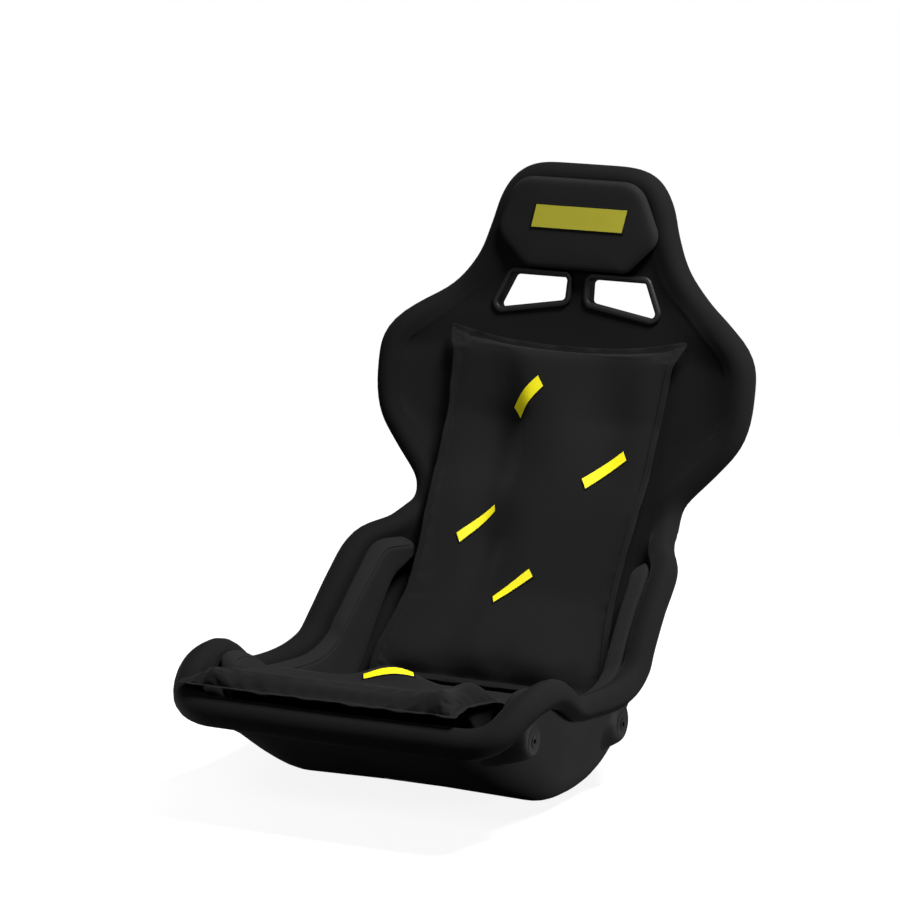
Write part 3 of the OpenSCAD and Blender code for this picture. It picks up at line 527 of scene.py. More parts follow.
def apply_modifiers(obj):
    """Replaces the mesh of obj by what its modifiers make of it."""
    graph = bpy.context.evaluated_depsgraph_get()
    made = bpy.data.meshes.new_from_object(obj.evaluated_get(graph))
    obj.modifiers.clear()
    obj.data = made


def cut(obj, cutter):
    """Cuts a hole and applies it; the cutter goes."""
    hole = obj.modifiers.new("hole", "BOOLEAN")
    hole.operation, hole.solver, hole.object = "DIFFERENCE", "EXACT", cutter
    apply_modifiers(obj)
    bpy.data.objects.remove(cutter)


print("helpers ready")

# %% [markdown]
# ## Openings
# The belt openings are drawn flat, in a plane of their own on the shell: x across and y up. The
# outline is grown for the hole, the sleeve and the bezel's face, and its corners keep a common
# centre, as they would on a milled mould. The holes themselves are cut by blocks of that outline,
# which leaves a clean edge in the fine mesh where a hole drawn into the loft would bend its rows.

# %% Planes and outlines of the openings
# A plane: its middle, the direction up along it and the direction out of it.
SLOT_PLANE = (np.array([0, 774.5, 425.625]), np.array([0, 0.2234, 0.9747]),
              np.array([0, -0.9747, 0.2234]))
CROTCH_PLANE = (np.array([0, 238.5, -154.5]), unit(np.array([0, 47.0, -15.0])),
                unit(np.array([0, 15.0, 47.0])))
SLOT_OUTLINE = [(127.5, -28.5), (104.5, 22.94), (17.5, 22.94), (18.5, -10.06)]
CROTCH_OUTLINE = [(35, -13), (35, 13), (-35, 13), (-35, -13)]
CORNER_R = 6


def outline(corners, grow, arc=6):
    """The outline grown by that much, corners rounded about the same centres."""
    p = np.array(corners, float)
    into, away = unit(p - np.roll(p, 1, 0)), unit(np.roll(p, -1, 0) - p)
    side_in = np.stack([into[:, 1], -into[:, 0]], 1)
    side_out = np.stack([away[:, 1], -away[:, 0]], 1)
    half = (side_in + side_out) / (1 + (side_in * side_out).sum(1, keepdims=True))
    centres = p - half * CORNER_R
    points = []
    for centre, a, b in zip(centres, side_in, side_out):
        for t in np.linspace(0, 1, arc):
            points.append(centre + unit(mix(a, b, t)) * (CORNER_R + grow))
    return np.array(points)


def on_plane(plane, flat, height, side=1):
    """Points of a plane's x and y, that high above it; side -1 mirrors them to the left."""
    middle, up, out = plane
    flat = np.asarray(flat, float)
    points = middle + flat[:, :1] * [1, 0, 0] + flat[:, 1:] * up + np.reshape(height, (-1, 1)) * out
    return points * [side, 1, 1]


def cutter(plane, corners, grow, side=1, depth=32):
    """A block through an opening, its outline grown by that much."""
    flat = outline(corners, grow)
    ends = [on_plane(plane, flat, height, side) for height in (-depth, depth)]
    return mesh_object("cutter", np.concatenate(ends), tube_faces(2, len(flat)))


print("openings drawn with", len(outline(SLOT_OUTLINE, 0)), "points each")

# %% [markdown]
# ## The shell
# The bare shell is what its mould makes of it: one skin of even thickness, smooth outside. Its edge
# disappears inside the rim's roll. The outside is laid out along the sections' own normals and not
# by a thickness modifier, which would pinch it in the tight corners at the front.

# %% Shell
# The wall of a sleeve in an opening, and the gap round it.
SLEEVE_T, SLEEVE_GAP = 2, 1


def cut_openings(obj, crotch_grow):
    """Cuts the two shoulder belt openings and the one for the crotch strap."""
    for side in (1, -1):
        cut(obj, cutter(SLOT_PLANE, SLOT_OUTLINE, SLEEVE_T + SLEEVE_GAP, side))
    cut(obj, cutter(CROTCH_PLANE, CROTCH_OUTLINE, crotch_grow))


outside = skin - skin_n * SHELL_T
outside[loop[:, 0], loop[:, 1]] = rim_points(-roll_reach, -SHELL_T / 2)
rim_ids = loop[:, 0] * n_cols + loop[:, 1]
n_skin, n_loop = n_rows * n_cols, len(loop)
points = np.concatenate([skin.reshape(-1, 3), outside.reshape(-1, 3)])
faces = grid_quads(n_rows, n_cols) + grid_quads(n_rows, n_cols, n_skin, flip=True)
for k in range(n_loop):
    a, b = rim_ids[k], rim_ids[(k + 1) % n_loop]
    faces.append([b, a, a + n_skin, b + n_skin])
seat_shell = piece("seat_shell", points, faces, gelcoat, sharp=50)
cut_openings(seat_shell, SLEEVE_T + SLEEVE_GAP)
seat_shell.data.set_sharp_from_angle(angle=math.radians(40))
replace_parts(seat_shell, "shell")
print("shell of", len(seat_shell.data.polygons), "faces")

# %% [markdown]
# ## The cover
# The velour lies on the lining foam and wraps round the rim's roll to the back of the shell. Where
# the lining meets the roll the cloth bridges the crease, most of all at the wings, so it rises
# softly towards the edge before it turns over.

# %% Height of the cloth
BRIDGE_RISE, BRIDGE_REACH, BRIDGE_LEAST = 6.0, 22.0, 0.12
WINGS_BEGIN, WINGS_RUN = 12.4, 2.0


def bridge_rise(u):
    """How far the cloth bridges the crease: little at the waist, most at the wings."""
    t = np.clip((np.asarray(u) - WINGS_BEGIN) / WINGS_RUN, 0, 1)
    return BRIDGE_RISE * mix(BRIDGE_LEAST, 1, t * t * (3 - 2 * t))


def cloth_height(u, d):
    """Height of the cloth over the shell, at a section and a distance from the roll."""
    return LINING_T + COVER_T + bridge_rise(u) * np.exp(-(d / BRIDGE_REACH) ** 2)


print("cloth", cloth_height(0, 100).round(1), "mm over the shell,",
      cloth_height(LAST, 0).round(1), "mm where it meets the roll of the wings")

# %% [markdown]
# The cloth is one surface: the skin lifted by that height, then a row of points for each angle
# round the roll. A thickness modifier turns it into cloth with two faces, so that its free edge
# behind the shell shows a real thickness. It is applied before the openings are cut.

# %% Cover
# Round the roll, in degrees: 90 looks off the wall and 0 straight out from the edge.
ROLL_ANGLES = [95, 72, 50, 28, 5, -18, -40, -62, -85, -106, -128, -150, -171]
# How far the crotch trim's flange reaches over the opening's edge, under the cloth's cut.
CROTCH_FLANGE = 9
R = roll_r + COVER_T
joint_up = cloth_height(edge_u, 0) + SHELL_T / 2
joint_out = -np.sqrt(R ** 2 - joint_up ** 2)
edge_d = roll_reach + joint_out
flat_points = skin.reshape(-1, 3)
away = np.linalg.norm(flat_points[:, None] - edge[None], axis=2)
nearest = away.argmin(1)
d = away.min(1) + edge_d[nearest]
us = np.repeat(section_us, n_cols)
top = flat_points + skin_n.reshape(-1, 3) * cloth_height(us, d)[:, None]
top[rim_ids] = rim_points(-roll_reach, cloth_height(edge_u, edge_d) + SHELL_T / 2)
halfway_up = cloth_height(edge_u, edge_d / 2) + SHELL_T / 2
rings = [rim_points(mix(-roll_reach, joint_out, 0.5), halfway_up), rim_points(joint_out, joint_up)]
for angle in ROLL_ANGLES:
    a = math.radians(angle)
    rings.append(rim_points(R * math.cos(a), R * math.sin(a)))
points = np.concatenate([top] + rings)
faces = grid_quads(n_rows, n_cols)
ids = [rim_ids] + [n_skin + k * n_loop + np.arange(n_loop) for k in range(len(rings))]
for inner, outer in zip(ids, ids[1:]):
    for k in range(n_loop):
        m = (k + 1) % n_loop
        faces.append([int(inner[k]), int(outer[k]), int(outer[m]), int(inner[m])])
seat_cover = piece("seat_cover", points, faces, velour)
skin_depth = seat_cover.modifiers.new("cloth", "SOLIDIFY")
skin_depth.thickness, skin_depth.offset = COVER_T * MM, -1
apply_modifiers(seat_cover)
cut_openings(seat_cover, CROTCH_FLANGE + SLEEVE_GAP)
seat_cover.data.set_sharp_from_angle(angle=math.radians(60))
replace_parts(seat_cover, "cover", "lining_foam", "edge_foam")
print("cover of", len(seat_cover.data.polygons), "faces")

# %% [markdown]
# ## Bezels of the shoulder belt openings
# Each opening is lined by a moulded sleeve with a broad rounded face. A box with bevelled edges
# could stand for it, but a bevel changes width in the sharp corners. Here the section of sleeve and
# face is swept round the outline instead, so the corners keep their even round-over.

# %% Bezels
# Section of the bezel: distance out from the opening, height above the shell's inner face.
BEZEL_SECTION = [
    (0, -7.5), (0, 4), (0, 12.6), (0.35, 13.9), (1.3, 14.8), (2.9, 15.2), (5, 15.3), (7, 15.0),
    (8.5, 14.2), (9.3, 13.0), (9.5, 11.9), (9.4, 11.0), (5, 11.0), (2, 11.0), (2, 3), (2, -7.5)]


def bezel(name, side):
    rings = [on_plane(SLOT_PLANE, outline(SLOT_OUTLINE, out, arc=9), up, side)
             for out, up in BEZEL_SECTION]
    n = len(rings[0])
    faces = grid_quads(len(rings), n, closed=True)
    last = (len(rings) - 1) * n
    faces += [[j, (j + 1) % n, last + (j + 1) % n, last + j] for j in range(n)]
    return piece(name, np.concatenate(rings), faces, trim, sharp=55)


for word, side in (("left", -1), ("right", 1)):
    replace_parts(bezel("bezel_" + word, side), "harness_bezel_" + word)
print("two bezels of", len(BEZEL_SECTION), "rings each")

# %% [markdown]
# ## Thigh pads
# The thigh pads are boxes of firm foam in sewn covers. Each lies against the side wall, leans on
# the rim's roll at its top and follows the wall all the way up to the waist. A cushion made from a
# plain box would have to be bent to the wall afterwards. One section that is carried along the wall
# from the start lies on it everywhere, and a fine step in that section draws the sewn seam of its
# edge.

# %% Loft of the thigh pads
# Along a pad: place on the loft, size of the section, share of the thickness, share of the depth.
PAD_ROWS = np.array([
    [1.6, 0.5, 1, 1], [1.75, 0.82, 1, 1], [2.05, 0.97, 1, 1], [2.6, 1, 1, 1], [3.3, 1, 1, 1],
    [4.2, 1, 1, 1], [5.1, 1, 1, 1], [6, 1, 1, 1], [7, 1, 1, 0.98], [7.9, 1, 1, 0.88],
    [8.7, 1, 1.04, 0.74], [9.4, 1, 1.08, 0.6], [10.1, 1, 1.1, 0.5], [10.5, 1, 1.04, 0.46],
    [10.8, 0.97, 0.96, 0.44], [10.95, 0.86, 0.8, 0.44], [11.05, 0.6, 0.7, 0.44]])
# Height of the pad's rest over the wall, and the pad's thickness.
PAD_REST, PAD_T = 10.8, 28.0
# Section of a pad: distance past the rim's foot, height above its rest as a share of its thickness.
# The fine step between 0 and 3 is the sewn seam of the pad's upper edge.
PAD_SECTION = [
    (-76, 0.0), (-78, 0.12), (-78.2, 0.36), (-76.4, 0.64), (-72, 0.82), (-64, 0.92), (-50, 0.97),
    (-31, 1.0), (-14, 1.03), (-4, 1.03), (-0.6, 1.02), (0.7, 0.99), (1.3, 0.945), (2.2, 0.965),
    (4.2, 0.95), (8.2, 0.8), (12.6, 0.6), (15.2, 0.42), (14.2, 0.3), (8, 0.2), (-1, 0.08),
    (-8, 0.0), (-30, 0.0), (-54, 0.0)]
# The point that the section shrinks to at the pad's ends.
HEART = (-31.2, 0.4)


# The wall's direction is read at least this far below the rim's foot, where it is steady.
STEADY_BELOW = 4


def on_wall(us, s, h):
    """Points on the side wall: s past the foot of the rim along the section, h above the wall."""
    points, normals = half_sections(us)
    lengths = np.concatenate([np.zeros((len(us), 1)),
                              np.linalg.norm(np.diff(points, axis=1), axis=2).cumsum(1)], 1)
    made = np.zeros((len(us), len(s[0]), 3))
    for i in range(len(us)):
        for j, (run, high) in enumerate(zip(s[i], h[i])):
            where = lengths[i, -1] + min(run, 0)
            p = [np.interp(where, lengths[i], points[i, :, a]) for a in range(3)]
            deep = lengths[i, -1] + min(run, -STEADY_BELOW)
            n = unit(np.array([np.interp(deep, lengths[i], normals[i, :, a]) for a in range(3)]))
            end = unit(points[i, -1] - points[i, -2])
            made[i, j] = np.array(p) + end * max(run, 0) + n * high
    return made


def pad_surface(rows=64, per=4):
    """Rings of a thigh pad from its front end to its back end, on the right."""
    t = np.linspace(0, len(PAD_ROWS) - 1, rows)
    table = spline(PAD_ROWS, t)
    corners = np.array(PAD_SECTION)
    closed = np.concatenate([corners[-1:], corners, corners[:2]])
    section = spline(closed, np.arange(1, len(corners) + 1, 1 / per))
    s = HEART[0] + (section[None, :, 0] - HEART[0]) * table[:, 1:2]
    s = np.where(s < 0, s * table[:, 3:4], s)
    h = HEART[1] + (section[None, :, 1] - HEART[1]) * table[:, 1:2]
    return on_wall(table[:, 0], s, PAD_REST + h * PAD_T * table[:, 2:3])


pad_rings = pad_surface()
print("pad of", pad_rings.shape[0], "rings")


# %% Thigh pads
def capped(rings):
    """Closes a stack of rings with a shrinking cap at each end."""
    first, last = rings[0], rings[-1]
    front = [mix(first, first.mean(0), t) for t in (0.8, 0.4)]
    back = [mix(last, last.mean(0), t) for t in (0.4, 0.8)]
    return np.stack(front + list(rings) + back)


def thigh_pad(name, side):
    rings = capped(pad_rings) * [side, 1, 1]
    faces = tube_faces(*rings.shape[:2])
    obj = piece(name, rings.reshape(-1, 3), faces, pad_cloth)
    return obj


for word, side in (("left", -1), ("right", 1)):
    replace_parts(thigh_pad("thigh_pad_" + word, side),
                f"side_pad_{word}_foam", f"side_pad_{word}_cover")
print("two thigh pads")

# %% [markdown]
# ## Head pad
# The head pad is a flat cushion with six rounded corners. It stands on the rim's roll, so its back
# is hollow to the shell; the strips behind it bridge that gap. Its outline comes first, and the
# cushion is that outline repeated in rings: small ones behind, full ones round its side and ever
# smaller ones over its crowned front. A box would need its corners cut, and would show it in the
# shading.

# %% Outline of the head pad
HEAD_LOW, HEAD_H, HEAD_W = 464.0, 130.0, 257.0
HEAD_CORNERS = [(HEAD_W * 0.31, 0), (HEAD_W / 2, HEAD_H * 0.38), (HEAD_W * 0.37, HEAD_H),
                (-HEAD_W * 0.37, HEAD_H), (-HEAD_W / 2, HEAD_H * 0.38), (-HEAD_W * 0.31, 0)]
HEAD_RADII = [20, 26, 38, 38, 26, 20]
# About how far the points of the outline's straight stretches lie apart.
OUTLINE_STEP = 8


def head_outline(arc=8):
    p = np.array(HEAD_CORNERS)
    before, after = unit(np.roll(p, 1, 0) - p), unit(np.roll(p, -1, 0) - p)
    points = []
    for b, u, v, radius in zip(p, before, after, HEAD_RADII):
        half = math.acos(float(u @ v)) / 2
        centre = b + unit(u + v) * radius / math.sin(half)
        run = radius / math.tan(half)
        start, end = b + u * run - centre, b + v * run - centre
        for t in np.linspace(0, 1, arc):
            points.append(centre + unit(mix(start, end, t)) * radius)
    dense = []
    for a, b in zip(points, points[1:] + points[:1]):
        steps = max(1, int(np.linalg.norm(b - a) // OUTLINE_STEP))
        dense += [mix(a, b, t) for t in np.linspace(0, 1, steps, endpoint=False)]
    return np.array(dense) + [0, HEAD_LOW]


head_line = head_outline()
print("outline of", len(head_line), "points")

# %% Head pad
HEAD_T, TOP_ROLL_R, STRIPS_T = 26.0, 18.0, 4.2
HEAD_OVER_ROLL = TOP_ROLL_R + COVER_T + STRIPS_T - SHELL_T / 2
# Over this height the shell has ended, and the pad keeps the place it has there.
SHELL_TOP = 573
back_curve = skin[:, n_cols // 2]
head_middle = np.array([0, HEAD_LOW + HEAD_H / 2])
head_base_y = np.interp(head_middle[1], back_curve[:, 2], back_curve[:, 1])


def head_ring(size, h, flat):
    q = head_middle + (head_line - head_middle) * size
    y = np.interp(np.minimum(q[:, 1], SHELL_TOP), back_curve[:, 2], back_curve[:, 1])
    return np.stack([q[:, 0], mix(y, head_base_y, flat) - h, q[:, 1]], 1)


# Size of the ring, height over the roll as a share of the thickness, how far it is flattened.
HEAD_RINGS = [
    (0.3, -0.3, 0), (0.62, -0.28, 0), (0.86, -0.1, 0), (0.95, 0.02, 0), (0.985, 0.1, 0.3),
    (1.0, 0.24, 0.5), (1.0, 0.44, 0.5), (0.99, 0.57, 0.5), (0.965, 0.66, 0.5), (0.93, 0.71, 0.5),
    (0.86, 0.745, 0.5), (0.75, 0.77, 0.5), (0.6, 0.79, 0.5), (0.4, 0.8, 0.5), (0.2, 0.8, 0.5)]
rings = [head_ring(size, HEAD_OVER_ROLL + HEAD_T * up, flat) for size, up, flat in HEAD_RINGS]
head_pad = piece("head_pad", np.concatenate(rings), tube_faces(len(rings), len(rings[0])),
                 pad_cloth, subdivide=1)
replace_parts(head_pad, "head_pad_foam", "head_pad_cover")
print("head pad of", len(rings), "rings")

# %% [markdown]
# ## Moulded inserts
# The two inserts are bags of stretch cloth that were filled with setting foam while the driver sat
# on them. Each bag is two panels sewn together all round, with the seam allowance standing out as a
# flat flange. The front panel carries the driver's form; the rear panel lies in the seat. Such a
# form could be sculpted by hand, but then it couldn't be written down. Here each panel is a grid
# that follows the seat, and every hump or hollow on it is one row of numbers: a place, a reach and
# a height.

# %% Grid of a panel
def turn_up(v, w, sharp_v, sharp_w):
    """0 over most of a panel, 1 at its seam; v runs from -1 to 1 across and w from 0 to 1 along."""
    return 1 - (1 - np.abs(v) ** sharp_v) * (1 - np.abs(2 * w - 1) ** sharp_w)


def hill(x, width):
    """1 at x = 0, falling away smoothly over that width."""
    return np.exp(-(x / width) ** 2)


def panel_grid(rows, cols):
    """v and w over a panel, closer together near the seams."""
    v = np.sin(np.linspace(-1, 1, cols) * math.pi / 2)
    w = (1 - np.cos(np.linspace(0, 1, rows) * math.pi)) / 2
    v, w = mix(np.linspace(-1, 1, cols), v, 0.5), mix(np.linspace(0, 1, rows), w, 0.5)
    return np.meshgrid(v, w)


print("grids close up to", round(float(np.diff(panel_grid(89, 77)[0][0]).min()), 3), "at the seams")

# %% [markdown]
# The rear panel isn't drawn. It lies where the underside of the CAD insert lies, so it is found by
# casting rays at that solid from behind, and where a ray misses, the points round it give the
# depth.

# %% Depth of the rear panel
# How often the gaps that rays left are filled from their neighbours, one point deep each time.
GAP_ROUNDS = 60


def bed_depth(node, seam, inward, far=220.0):
    """How far below a panel the CAD insert's underside lies, along the inward direction."""
    tree = BVHTree.FromObject(nodes[node], bpy.context.evaluated_depsgraph_get())
    rows, cols = seam.shape[:2]
    depth = np.full((rows, cols), np.nan)
    for i in range(1, rows - 1):
        for j in range(1, cols - 1):
            start = from_lip(seam[i, j] + inward[i, j] * far)
            hit = tree.ray_cast(Vector(start), Vector(-inward[i, j]), far * MM * 1.2)
            if hit[0] is not None:
                depth[i, j] = far - hit[3] / MM
    depth[[0, -1]], depth[:, [0, -1]] = 0, 0
    for _ in range(GAP_ROUNDS):
        missing = np.isnan(depth)
        if not missing.any():
            break
        around = np.stack([np.roll(depth, s, a) for s in (1, -1) for a in (0, 1)])
        count = (~np.isnan(around)).sum(0)
        ready = missing & (count > 1)
        depth[ready] = np.nansum(around, 0)[ready] / count[ready]
    return np.maximum(depth, 0)


print("rays start", bed_depth.__defaults__[0], "mm behind the panel")

# %% [markdown]
# The back insert follows the middle line of the shell. Its seam stands off that line, and its front
# swells over the seam and carries the forms: two shoulder blades, the small of the back, and a
# crest left by the spine, which is steep on one side because the driver sat a little turned.

# %% Panel of the back insert
# Along the back insert: place on the loft, growth of its half width, height of the seam over the
# lining, height of the front over the seam.
BACK_ROWS = np.array([
    [8.5, 14, 44, 0], [8.75, 13, 50, 9], [9.2, 9, 55, 10], [9.9, -2, 52, 3], [10.6, -6, 49, -2],
    [11.5, -5, 47, -2], [12.4, -2, 46, 0], [13.3, 0, 39, 7], [14.4, 0, 33, 13], [15.4, 3, 34, 13],
    [16.4, 8, 36, 10], [17, 14, 30, 9], [17.3, 19, 24, 0]])
BACK_W, TOP_SAG = 320.0, 0.5
MIDDLES = SECTIONS[:, :2]
# Crest of the spine's form, w and then v, its height, and its reach to its left and to its right.
SPINE = [(0, -0.1), (0.3, -0.12), (0.45, -0.21), (0.51, -0.2), (0.56, -0.15), (0.63, -0.13),
         (0.7, -0.15), (0.8, -0.26), (1, -0.34)]
SPINE_HEIGHT, SPINE_STEEP, SPINE_SLOW = 16, 0.2, 0.6
# Forms on the panel: place v and w, reach across and along, height.
BACK_FORMS = [
    (-0.5, 0.63, 0.3, 0.12, -27), (-0.34, 0.41, 0.22, 0.09, -20), (0.55, 0.69, 0.24, 0.11, -17),
    (0.05, 0.93, 1.3, 0.045, 6), (-0.7, 0.1, 0.24, 0.07, 5), (-0.4, 0.08, 0.14, 0.07, -3),
    (-0.1, 0.11, 0.16, 0.07, 4), (0.14, 0.1, 0.12, 0.07, -3), (0.45, 0.12, 0.24, 0.07, 5),
    (0.72, 0.1, 0.1, 0.06, -2), (0.1, 0.3, 0.8, 0.06, -4), (-0.86, 0.93, 0.03, 0.03, -3),
    (-0.75, 0.95, 0.03, 0.03, -2), (0.84, 0.92, 0.04, 0.03, -3), (0.1, 0.6, 0.25, 0.12, 3)]


def spine_ridge(v, w):
    """A crest that falls steeply to its left and slowly to its right, and fades at its ends."""
    past = v - np.interp(w, *zip(*SPINE))
    ridge = np.where(past < 0, hill(past, SPINE_STEEP), hill(past, SPINE_SLOW))
    return SPINE_HEIGHT * ridge * (1 - hill(w, 0.2)) * (1 - hill(1 - w, 0.16))


def back_panel(rows=89, cols=77):
    """The grid, the seam, the front panel, and the directions off the back and along it."""
    v, w = panel_grid(rows, cols)
    r = spline(BACK_ROWS, w * (len(BACK_ROWS) - 1))
    u = r[..., 0] - TOP_SAG * (1 - v * v) * w ** 6
    c = spline(MIDDLES, u)
    slope = unit(spline(MIDDLES, u + 0.1) - spline(MIDDLES, u - 0.1))
    zero = np.zeros_like(u)
    along = np.stack([zero, slope[..., 0], slope[..., 1]], -1)
    off = np.cross([1.0, 0, 0], along)
    x = v * (BACK_W / 2 + r[..., 1])
    seam = np.stack([x, c[..., 0], c[..., 1]], -1) + off * (r[..., 2] + LINING_T)[..., None]
    form = sum(high * hill(v - fv, rv) * hill(w - fw, rw) for fv, fw, rv, rw, high in BACK_FORMS)
    form = form + spine_ridge(v, w)
    # Fine folds across, where the cloth is gathered into the seams at both ends.
    gathers = 0.5 * np.sin(x / 5 + np.sin(x / 40)) * (hill(1 - w, 0.035) + hill(w, 0.05))
    swell = r[..., 3] * (1 - turn_up(v, w, 5, 34)) + (form + gathers) * (1 - turn_up(v, w, 8, 20))
    return v, w, seam, seam + off * swell[..., None], off, along


back_v, back_w, back_seam, back_front, back_off, back_along = back_panel()
print("back panel of", back_v.shape, "points")

# %% [markdown]
# The seat insert lies on the pan and hangs a little over the front lip. Its crown is drawn over its
# seam in the same way: a raised pad at its right front corner, a hump between the thighs that sat
# beside it, and a low bulge at its left front corner, where the filling was pushed.

# %% Panel of the seat insert
# Along the seat insert: y, half width left and right, height of the seam and height of the crown.
SEAT_ROWS = np.array([
    [-4, 222, 174, 10, 10], [4, 221, 174, 12, 22], [14, 216, 174, 13, 27], [30, 206, 173, 13, 23],
    [54, 196, 172, 11, 16], [86, 188, 176, 7, 12], [108, 184, 190, 2, 10], [130, 182, 184, -7, 2],
    [162, 182, 182, -20, -10], [220, 182, 182, -44, -34], [300, 182, 182, -64, -57],
    [370, 180, 180, -76, -70], [420, 176, 176, -88, -80], [438, 173, 173, -96, -96]], float)
# Forms on its crown: place x and y, reach across and along, height.
SEAT_FORMS = [
    (-178, 13, 24, 24, 9), (-158, 6, 9, 13, -4), (-143, 4, 6, 10, -2), (128, 14, 22, 18, 3),
    (160, 16, 24, 24, 12), (158, 52, 24, 30, 16), (156, 88, 24, 24, 17), (134, 6, 5, 12, -3),
    (146, 8, 6, 14, -2.5), (32, 102, 46, 32, 21), (-60, 80, 60, 40, -3), (196, 116, 16, 16, 4)]


def seat_panel(rows=77, cols=97):
    """The same grids for the seat insert, whose front panel is its top."""
    v, w = panel_grid(rows, cols)
    r = spline(SEAT_ROWS, w * (len(SEAT_ROWS) - 1))
    x, y = v * np.where(v < 0, r[..., 1], r[..., 2]), r[..., 0]
    form = sum(high * hill(x - fx, rx) * hill(y - fy, ry) for fx, fy, rx, ry, high in SEAT_FORMS)
    form = form + 0.7 * np.sin(x / 4.3 + 1.5 * np.sin(x / 31)) * hill(y - 2, 14)
    seam = np.stack([x, y, r[..., 3]], -1)
    crown = np.maximum(r[..., 4] + form, r[..., 3])
    top = seam.copy()
    top[..., 2] = mix(crown, r[..., 3], turn_up(v, w, 12, 50))
    zero = np.zeros_like(x)
    off, along = np.stack([zero, zero, zero + 1], -1), np.stack([zero, zero + 1, zero], -1)
    return v, w, seam, top, off, along


seat_v, seat_w, seat_seam, seat_top, seat_off, seat_along = seat_panel()
print("seat panel of", seat_v.shape, "points")

# %% [markdown]
# A cloth simulation fills the bags: the seam and the rear panel are held, the front panel is cut a
# little loose, and air pressure pushes it out. Close to the seam the loose cloth gathers in small
# folds, as it does on the real bags. How far a point may move is capped, so the form stays.

# %% Filling a bag
def fill_bag(obj, held, cap, pressure=4.0, loose=0.03, frames=20):
    """Runs the cloth with held weights per vertex, and keeps the moves up to cap metres."""
    group = obj.vertex_groups.new(name="held")
    for i, weight in enumerate(held):
        group.add([i], float(weight), "REPLACE")
    cloth = obj.modifiers.new("filling", "CLOTH")
    rules = cloth.settings
    rules.vertex_group_mass = "held"
    rules.quality = 6
    rules.mass = 0.25
    rules.tension_stiffness = rules.compression_stiffness = 12
    rules.shear_stiffness = 4
    rules.bending_stiffness = 0.15
    rules.use_pressure = True
    rules.uniform_pressure_force = pressure
    rules.shrink_min = -loose
    rules.effector_weights.gravity = 0
    cloth.point_cache.frame_start, cloth.point_cache.frame_end = 1, frames
    before = np.array([v.co for v in obj.data.vertices])
    for frame_number in range(1, frames + 1):
        bpy.context.scene.frame_set(frame_number)
    filled = obj.evaluated_get(bpy.context.evaluated_depsgraph_get())
    after = np.array([v.co for v in filled.data.vertices])
    bpy.context.scene.frame_set(1)
    obj.modifiers.clear()
    move = after - before
    length = np.linalg.norm(move, axis=1, keepdims=True)
    move *= cap * np.tanh(length / cap) / np.maximum(length, 1e-9)
    obj.data.vertices.foreach_set("co", (before + move).ravel())
    obj.data.update()
    return length.max()


print("a bag is filled over", fill_bag.__defaults__[2], "frames")


# %% Bags of the inserts
def sewn_bag(name, front, seam, off, node, body, swaps, cap=5 * MM):
    """The closed bag between the front panel and the CAD insert's underside."""
    rows, cols = front.shape[:2]
    depth = bed_depth(node, seam, -off)
    rear = seam - off * depth[..., None]
    front = front.copy()
    front[[0, -1]], front[:, [0, -1]] = seam[[0, -1]], seam[:, [0, -1]]
    total = rows * cols
    border = np.zeros((rows, cols), bool)
    border[[0, -1]], border[:, [0, -1]] = True, True
    back_ids = np.where(border, np.arange(total).reshape(rows, cols), -1)
    back_ids[~border] = total + np.arange((~border).sum())
    points = np.concatenate([front.reshape(-1, 3), rear[~border]])
    faces = grid_quads(rows, cols)
    flat = back_ids.ravel()
    faces += [[int(flat[a]) for a in quad[::-1]] for quad in grid_quads(rows, cols)]
    obj = piece(name, points, faces, insert_cloth, body=body)
    held = np.concatenate([border.ravel().astype(float), np.ones((~border).sum())])
    print(name, "moved up to", round(fill_bag(obj, held, cap) / MM, 1), "mm before the cap")
    soften(obj)
    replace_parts(obj, *swaps)
    return obj


back_bag = sewn_bag("back_insert_bag", back_front, back_seam, back_off, "back_insert_fill",
                    "back_insert", ("back_insert_fill", "back_insert_front", "back_insert_rear"))
seat_bag = sewn_bag("seat_insert_bag", seat_top, seat_seam, seat_off, "seat_insert_fill",
                    "seat_insert", ("seat_insert_fill", "seat_insert_top", "seat_insert_base"))

# %% [markdown]
# The seam allowance is a flat double layer of cloth, about 6 mm wide. It waves slightly, because
# the filling draws the seam together more than the free edge. A simulation of so thin a strip would
# be slow and restless, so three waves of different lengths are added up along the seam instead.

# %% Flanges
FLANGE_W, FLANGE_HALF_T = 6.0, 0.85
# Waves of the free edge: height, length over a full turn, and start.
FLANGE_WAVES = [(0.9, 11, 0), (0.7, 5.3, 1.2), (0.5, 27, 0.4)]


def border_loop(grid):
    """The border of a grid as one closed row of values."""
    return np.concatenate([grid[0, :-1], grid[:-1, -1], grid[-1, :0:-1], grid[:0:-1, 0]])


def flange(name, seam, v, w, along, off, body, width=FLANGE_W):
    base = border_loop(seam)
    side = np.where(np.abs(border_loop(v)) > 0.999, np.sign(border_loop(v)), 0.0)
    end = np.where(border_loop(w) < 0.001, -1.0, np.where(border_loop(w) > 0.999, 1.0, 0.0))
    outward = side[:, None] * [1, 0, 0] + end[:, None] * border_loop(along)
    up = border_loop(off)
    run = np.concatenate([[0], np.linalg.norm(np.diff(base, axis=0), axis=1).cumsum()])
    wave = sum(high * np.sin(run / length + start) for high, length, start in FLANGE_WAVES)
    upper = [(-3, FLANGE_HALF_T), (0, FLANGE_HALF_T), (0.55 * width, FLANGE_HALF_T),
             (0.93 * width, 0.7)]
    section = upper + [(width, 0.0)] + [(out, -high) for out, high in upper[::-1]]
    rings = [base + outward * out + up * (high + wave * (max(out, 0) / width) ** 2)[:, None]
             for out, high in section]
    return piece(name, np.concatenate(rings), grid_quads(len(rings), len(base), closed=True),
                 insert_cloth, body=body, subdivide=1)


